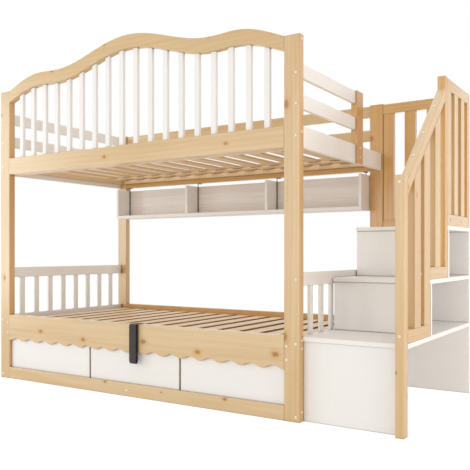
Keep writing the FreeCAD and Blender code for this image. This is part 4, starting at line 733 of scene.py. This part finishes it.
def upright(y, start, end, count=16):
    """Points (y, z) on a straight upright run from one height to another."""
    return np.stack([np.full(count, y), np.linspace(start, end, count)], axis=-1)


# Room of the webbing round the staple and in front of the rail
EYE_ROOM, RAIL_ROOM = 0.0003, 0.002

# Webbing above the fold of the loop, its narrowing at the fold, and room of its rear end under the top
FOLD_RUN, FOLD_NARROWING, END_ROOM = 0.012, 0.1, 0.003


def strap_path(fittings):
    """Middle line (y, z) of the webbing: round the staple, over the rail, down, round the loop and up again.

    It is a chain of arcs that straight runs join: each arc starts where the run from the arc before ends.
    """
    half = fittings.strap_thickness / 2
    bend = fittings.strap_bend
    low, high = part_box("lift_strap")
    staple_low, staple_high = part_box("strap_staple")
    rail_low, rail_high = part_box("lower_front_rail")
    radius = (staple_high[1] - staple_low[1]) / 2
    eye = ((staple_low[1] + staple_high[1]) / 2, staple_high[2] - radius)
    tail = radius + EYE_ROOM + half
    top = high[2] - half
    front = low[1] + half
    back = rail_low[1] - RAIL_ROOM - half
    loop = (back - front) / 2
    foot = low[2] + half + loop
    climb = (eye[1] + rail_high[2]) / 2
    return np.concatenate([
        arc(eye, tail, 70, -180, 19),
        np.array([[eye[0] - tail, climb]]),
        arc((eye[0] - tail - bend, top - bend), bend, 0, 90),
        arc((front + 2 * bend, top - 2 * bend), 2 * bend, 90, 180, 13),
        upright(front, top - 3 * bend, foot + FOLD_RUN),
        arc((front + loop, foot), loop, 180, 360, 21),
        upright(back, foot + FOLD_RUN, top - 1.1 * fittings.strap_thickness - END_ROOM),
    ])


def ribbon(path, middle, width, thickness, points=28):
    """Webbing: a flat oval with full edges, carried along a path that lies across the bed.

    The oval is a superellipse: half the width times the cosine and half the thickness times the sine, each
    to the power of a quarter. It is narrowed a little at the fold of the loop, which rounds its corners.
    """
    step = np.gradient(path, axis=0)
    step /= np.linalg.norm(step, axis=1, keepdims=True)
    normal = np.stack([-step[:, 1], step[:, 0]], axis=-1)
    run = np.concatenate([[0.0], np.cumsum(np.linalg.norm(np.diff(path, axis=0), axis=1))])
    angle = np.linspace(0, 2 * np.pi, points, endpoint=False)
    across, through = (size / 2 * np.sign(wave) * np.abs(wave) ** 0.25
                       for size, wave in ((width, np.cos(angle)), (thickness, np.sin(angle))))
    drop = (path[:, 1] - path[:, 1].min()) / FOLD_RUN
    narrowing = 1 - FOLD_NARROWING * np.exp(-drop ** 2)
    x = middle + narrowing[:, None] * across[None, :]
    y = path[:, 0, None] + normal[:, 0, None] * through[None, :]
    z = path[:, 1, None] + normal[:, 1, None] * through[None, :]
    place = np.stack([np.broadcast_to(across, x.shape), np.broadcast_to(run[:, None], x.shape)], axis=-1)
    return np.stack([x, y, z], axis=-1), place, run[-1]


def stitches(centres, directions, length, radius, points=6, rings=7):
    """Stitches: short arched threads, each a circle carried along a half sine that dips into the webbing.

    centres and directions have one row a stitch; the arch rises along -Y, out of the front of the strap.
    """
    u = np.linspace(0, 1, rings)
    angle = np.linspace(0, 2 * np.pi, points, endpoint=False)
    swell = np.sqrt(np.clip(np.sin(np.pi * (0.04 + 0.92 * u)), 0, 1))
    arch, dip = 1.6, 0.6
    lift = radius * (arch * np.sin(np.pi * u) - dip)
    along = (u - 0.5) * length
    out = np.array([0.0, -1.0, 0.0])
    sides = np.cross(directions, out)
    ring = radius * swell[:, None] * np.cos(angle)[None, :]
    rise = lift[:, None] + radius * swell[:, None] * np.sin(angle)[None, :]
    vertices = (centres[:, None, None, :] + along[None, :, None, None] * directions[:, None, None, :]
                + ring[None, :, :, None] * sides[:, None, None, :] + rise[None, :, :, None] * out)
    return vertices, tube_faces(rings, points, len(centres))


# Sewn box: its margin at the edges of the webbing, its drop below the top, its spacing in stitch lengths
BOX_MARGIN, BOX_DROP, STITCH_SPACING = 0.005, 0.02, 1.25

# Radius of the thread, and how far its middle lies in the webbing
THREAD_RADIUS, THREAD_DEPTH = 0.0004, 0.0001


class BED_OT_lift_strap(Operator):
    """Webbing strap with its sewn box, which lifts the base of the lower bunk"""
    bl_idname = "bed.lift_strap"
    bl_label = "Lift strap"

    def execute(self, context):
        fittings = context.scene.bed_fittings
        low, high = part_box("lift_strap")
        width = high[0] - low[0]
        middle = (high[0] + low[0]) / 2
        material, tree, shader = new_material("Woven webbing")
        threads = add(tree, "UVMap", uv_map="Weave").outputs["UV"]
        weave = placed(tree, "Weave", {"UV": threads, "Yarn": fittings.webbing,
                                       "Hollow": fittings.webbing_hollow_shade})
        fill(tree, shader, {"Base Color": weave["Color"], "Roughness": weave["Roughness"],
                            "Specular IOR Level": 0.25, "Sheen Weight": 0.2,
                            "Normal": relief(tree, weave["Height"], strength=0.6, distance=0.0006)})
        vertices, place, run = ribbon(strap_path(fittings), middle, width, fittings.strap_thickness)
        faces = tube_faces(*vertices.shape[:2])
        strap = mesh_piece("webbing_strap", vertices, faces, "strap", material)
        layer = strap.data.uv_layers.new(name="Weave")
        index = np.empty(len(strap.data.loops), dtype=np.int32)
        strap.data.loops.foreach_get("vertex_index", index)
        layer.data.foreach_set("uv", place.reshape(-1, 2)[index].ravel())
        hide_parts("lift_strap")
        sewing = self.sew(fittings, middle, width, low, high)
        return {"FINISHED"}

    def sew(self, fittings, middle, width, low, high):
        """A sewn box with a cross in it, below the edge of the rail."""
        material, tree, shader = new_material("Sewing thread")
        marks = placed(tree, "Speckle", {"Vector": object_place(tree), "Grain": 1800.0})
        tint = fittings.thread
        fill(tree, shader, {"Base Color": mixed(tree, marks["Fine"], shaded(tint, 0.6), tint),
                            "Roughness": spread(tree, marks["Fine"], 0.2, 0.8, 0.7, 0.9)})
        half = width / 2 - BOX_MARGIN
        top = high[2] - BOX_DROP
        foot = top - 2 * half
        corners = np.array([[-half, foot], [half, foot], [half, top], [-half, top]])
        pairs = np.array([[0, 1], [1, 2], [2, 3], [3, 0], [0, 2], [1, 3]])
        starts, ends = corners[pairs[:, 0]], corners[pairs[:, 1]]
        spacing = STITCH_SPACING * fittings.stitch_length
        counts = np.round(np.linalg.norm(ends - starts, axis=1) / spacing).astype(int)
        share = np.concatenate([(np.arange(n) + 0.5) / n for n in counts])
        row = np.repeat(np.arange(len(pairs)), counts)
        along = (ends - starts)[row]
        flat = starts[row] + share[:, None] * along
        way = along / np.linalg.norm(along, axis=1, keepdims=True)
        depth = np.full(len(flat), low[1] + THREAD_DEPTH)
        centres = np.stack([middle + flat[:, 0], depth, flat[:, 1]], axis=-1)
        directions = np.stack([way[:, 0], np.zeros(len(way)), way[:, 1]], axis=-1)
        vertices, faces = stitches(centres, directions, fittings.stitch_length, THREAD_RADIUS)
        return mesh_piece("strap_sewing", vertices, faces, "strap", material)


def screw_heads(places, radius, spokes=24, rings=7):
    """Countersunk screw heads that look up, one at each row of places.

    The surface is a disc in polar form: its height is a low dome, less a cross-shaped recess that is the
    larger of two soft ridges, one along each axis, and its rim goes down into the timber.
    """
    share = np.concatenate([np.linspace(0, 1, rings), [1.0]])
    angle = np.linspace(0, 2 * np.pi, spokes, endpoint=False)
    x = radius * share[:, None] * np.cos(angle)[None, :]
    y = radius * share[:, None] * np.sin(angle)[None, :]
    dome, recess, proud, sunk = 0.0004, 0.0009, 0.0001, 0.0006
    slot = 0.17 * radius
    reach = np.clip(1 - (share[:, None] / 0.62) ** 6, 0, 1)
    cross = np.maximum(np.exp(-(x / slot) ** 4), np.exp(-(y / slot) ** 4)) * reach
    z = dome * (1 - share[:, None] ** 2) - recess * cross + proud
    z[-1] = -sunk
    head = np.stack([x, y, z], axis=-1)
    vertices = places[:, None, None, :] + head[None]
    quads = ring_quads(rings + 1, spokes, len(places))
    return vertices, quads[:, [0, 3, 2, 1]].tolist()


# Rows of screws: inside the outer edges of the upper ledgers, and of the front and back of the lifting frame
LEDGER_INSET, FRONT_INSET, REAR_INSET = 0.0125, 0.03, 0.023

# Places of the two screws across a slat, as shares of its width from the middle
SCREW_SHARES = (-0.25, 0.25)


def slat_screws(node, count, width, rows):
    """Two screws side by side at each row of each slat of a node."""
    low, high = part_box(node)
    first = low[0] + width / 2
    pitch = (high[0] - low[0] - width) / (count - 1)
    x = first + pitch * np.arange(count)[:, None] + np.array(SCREW_SHARES)[None, :] * width
    grid_x, grid_y = np.meshgrid(x.ravel(), np.array(rows), indexing="ij")
    return np.stack([grid_x.ravel(), grid_y.ravel(), np.full(grid_x.size, high[2])], axis=-1)


class BED_OT_slat_screws(Operator):
    """Countersunk screws at the ends of the slats of both bunks"""
    bl_idname = "bed.slat_screws"
    bl_label = "Slat screws"

    def execute(self, context):
        fittings = context.scene.bed_fittings
        material = speckled_material("Screw zinc", fittings.zinc, metallic=1.0, rough=0.34, grain=900.0,
                                     depth=0.1)
        ledger_low, ledger_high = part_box("upper_slat_ledgers")
        frame_low, frame_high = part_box("base_frame")
        upper_rows = (ledger_low[1] + LEDGER_INSET, ledger_high[1] - LEDGER_INSET)
        lower_rows = (frame_low[1] + FRONT_INSET, (frame_low[1] + frame_high[1]) / 2,
                      frame_high[1] - REAR_INSET)
        sets = (("upper_slat_screws", "upper_slats", fittings.upper_slats, fittings.upper_slat_width,
                 upper_rows, "frame"),
                ("lower_slat_screws", "lower_slats", fittings.lower_slats, fittings.lower_slat_width,
                 lower_rows, "base"))
        for name, node, count, width, rows, body in sets:
            vertices, faces = screw_heads(slat_screws(node, count, width, rows), fittings.screw_radius)
            mesh_piece(name, vertices, faces, body, material)
        return {"FINISHED"}


def lit_or_seen(tree, lit, seen):
    """One shader for the light it sends, another where it is seen straight, through glass or in gloss."""
    path = add(tree, "LightPath").outputs
    direct = maths(tree, "MAXIMUM", path["Is Camera Ray"], path["Is Transmission Ray"])
    direct = maths(tree, "MAXIMUM", direct, path["Is Glossy Ray"])
    return add(tree, "MixShader", {0: direct, 1: lit, 2: seen}).outputs[0]


def glowing(tree, matt, glow, strength):
    """A matt surface of one colour that also glows in another."""
    surface = add(tree, "BsdfDiffuse", {"Color": matt}).outputs[0]
    light = add(tree, "Emission", {"Color": glow, "Strength": strength}).outputs[0]
    return add(tree, "AddShader", {0: surface, 1: light}).outputs[0]


def lamp(name, place, target, size, power, tint):
    """A soft rectangular lamp that looks at a target."""
    light = bpy.data.lights.new(name, "AREA")
    light.shape = "RECTANGLE"
    light.size, light.size_y = size
    light.energy = power
    light.color = tint
    item = bpy.data.objects.new(name, light)
    item.location = place
    item.rotation_euler = (Vector(target) - Vector(place)).to_track_quat("-Z", "Y").to_euler()
    item.visible_camera = False
    bpy.context.scene.collection.objects.link(item)


# Tints of the lamps, and plain white light
COOL, WARM = (0.91, 0.975, 1.0), (1.0, 0.9, 0.78)
WHITE_LIGHT = (1.0, 1.0, 1.0, 1.0)

# Each lamp: its place, its target, its width and height, and its tint
LAMPS = {
    "front_lamp": ((-2.2, -6.6, 1.5), (-0.1, -0.5, 0.9), (3.8, 3.0), COOL),
    "left_lamp": ((-4.7, -3.2, 1.4), (-1.0, -0.4, 1.1), (1.2, 2.6), COOL),
    "side_lamp": ((3.6, -0.6, 0.9), (1.28, 0.1, 0.75), (2.0, 1.6), WARM),
    "top_lamp": ((0.2, 0.1, 5.0), (0.0, 0.0, 0.0), (5.0, 4.0), COOL),
    "back_lamp": ((0.4, 6.4, 1.6), (0.0, 0.5, 0.9), (4.0, 3.0), COOL),
}

# Half the floor's side, its drop under the feet, and how it looks when seen: its own glow and a faint shade
FLOOR_REACH, FLOOR_DROP = 30.0, 0.0005
SEEN_GLOW, SEEN_SHADE = 0.95, 0.12


class BED_OT_stage(Operator):
    """White studio with a pale floor, soft lamps and a level camera"""
    bl_idname = "bed.stage"
    bl_label = "Stage"

    def execute(self, context):
        scene = context.scene
        setting = scene.bed_stage
        self.make_floor(setting)
        self.make_room(scene, setting)
        for name, (place, target, size, tint) in LAMPS.items():
            lamp(name, place, target, size, getattr(setting, name), tint)
        view = bpy.data.cameras.new("camera")
        view.sensor_width = 36.0
        view.lens = setting.focal_length
        view.shift_y = setting.rise
        view.clip_end = 100.0
        camera = bpy.data.objects.new("camera", view)
        camera.location = setting.camera_place
        camera.rotation_euler = (radians(90), 0.0, setting.camera_turn)
        scene.collection.objects.link(camera)
        scene.camera = camera
        scene.view_settings.view_transform = "Standard"
        return {"FINISHED"}

    def make_floor(self, setting):
        """A wide flat floor: a grid of two by two points at the height of the feet."""
        side = np.array([-FLOOR_REACH, FLOOR_REACH])
        x, y = np.meshgrid(side, side)
        corners = np.stack([x, y, np.full_like(x, -FLOOR_DROP)], axis=-1).reshape(-1, 3)
        mesh = bpy.data.meshes.new("floor")
        mesh.from_pydata(corners.tolist(), [], [[0, 1, 3, 2]])
        floor = bpy.data.objects.new("floor", mesh)
        bpy.context.scene.collection.objects.link(floor)
        material = bpy.data.materials.new("Studio floor")
        tree = empty_tree(material)
        lit = glowing(tree, setting.floor, setting.room, setting.floor_level)
        seen = glowing(tree, shaded(setting.floor, SEEN_SHADE), WHITE_LIGHT, SEEN_GLOW)
        add(tree, "OutputMaterial", {"Surface": lit_or_seen(tree, lit, seen)})
        mesh.materials.append(material)

    def make_room(self, scene, setting):
        """Even light from all round, and plain white where the room itself is seen."""
        world = bpy.data.worlds.new("studio")
        tree = empty_tree(world)
        lit = add(tree, "Background", {"Color": setting.room, "Strength": setting.room_level}).outputs[0]
        seen = add(tree, "Background", {"Color": WHITE_LIGHT}).outputs[0]
        add(tree, "OutputWorld", {"Surface": lit_or_seen(tree, lit, seen)})
        scene.world = world


STEPS = (BED_OT_lacquered_pine, BED_OT_bare_pine, BED_OT_white_paint, BED_OT_plywood, BED_OT_steel,
         BED_OT_cover_caps, BED_OT_lift_strap, BED_OT_slat_screws, BED_OT_stage)


class BED_PT_finishes(Panel):
    """Finishes of the bunk bed, in the order in which they are applied"""
    bl_idname = "BED_PT_finishes"
    bl_label = "Bunk Bed Finishes"
    bl_space_type = "VIEW_3D"
    bl_region_type = "UI"
    bl_category = "Bunk Bed"

    def draw(self, context):
        layout = self.layout
        for step in STEPS:
            layout.operator(step.bl_idname)
        for group in GROUPS:
            values = getattr(context.scene, group)
            box = layout.box()
            for name in values.bl_rna.properties.keys():
                if name not in ("rna_type", "name"):
                    box.prop(values, name)


GROUPS = {"bed_timber": BED_PG_timber, "bed_fittings": BED_PG_fittings, "bed_stage": BED_PG_stage}
CLASSES = (*GROUPS.values(), *STEPS, BED_PT_finishes)


def register():
    for item in CLASSES:
        bpy.utils.register_class(item)
    for name, group in GROUPS.items():
        setattr(bpy.types.Scene, name, PointerProperty(type=group))


def unregister():
    for name in GROUPS:
        delattr(bpy.types.Scene, name)
    for item in reversed(CLASSES):
        bpy.utils.unregister_class(item)


def main():
    """Dress the bed in order."""
    register()
    bpy.ops.bed.lacquered_pine()
    bpy.ops.bed.bare_pine()
    bpy.ops.bed.white_paint()
    bpy.ops.bed.plywood()
    bpy.ops.bed.steel()
    bpy.ops.bed.cover_caps()
    bpy.ops.bed.lift_strap()
    bpy.ops.bed.slat_screws()
    bpy.ops.bed.stage()


if __name__ == "__main__":
    main()
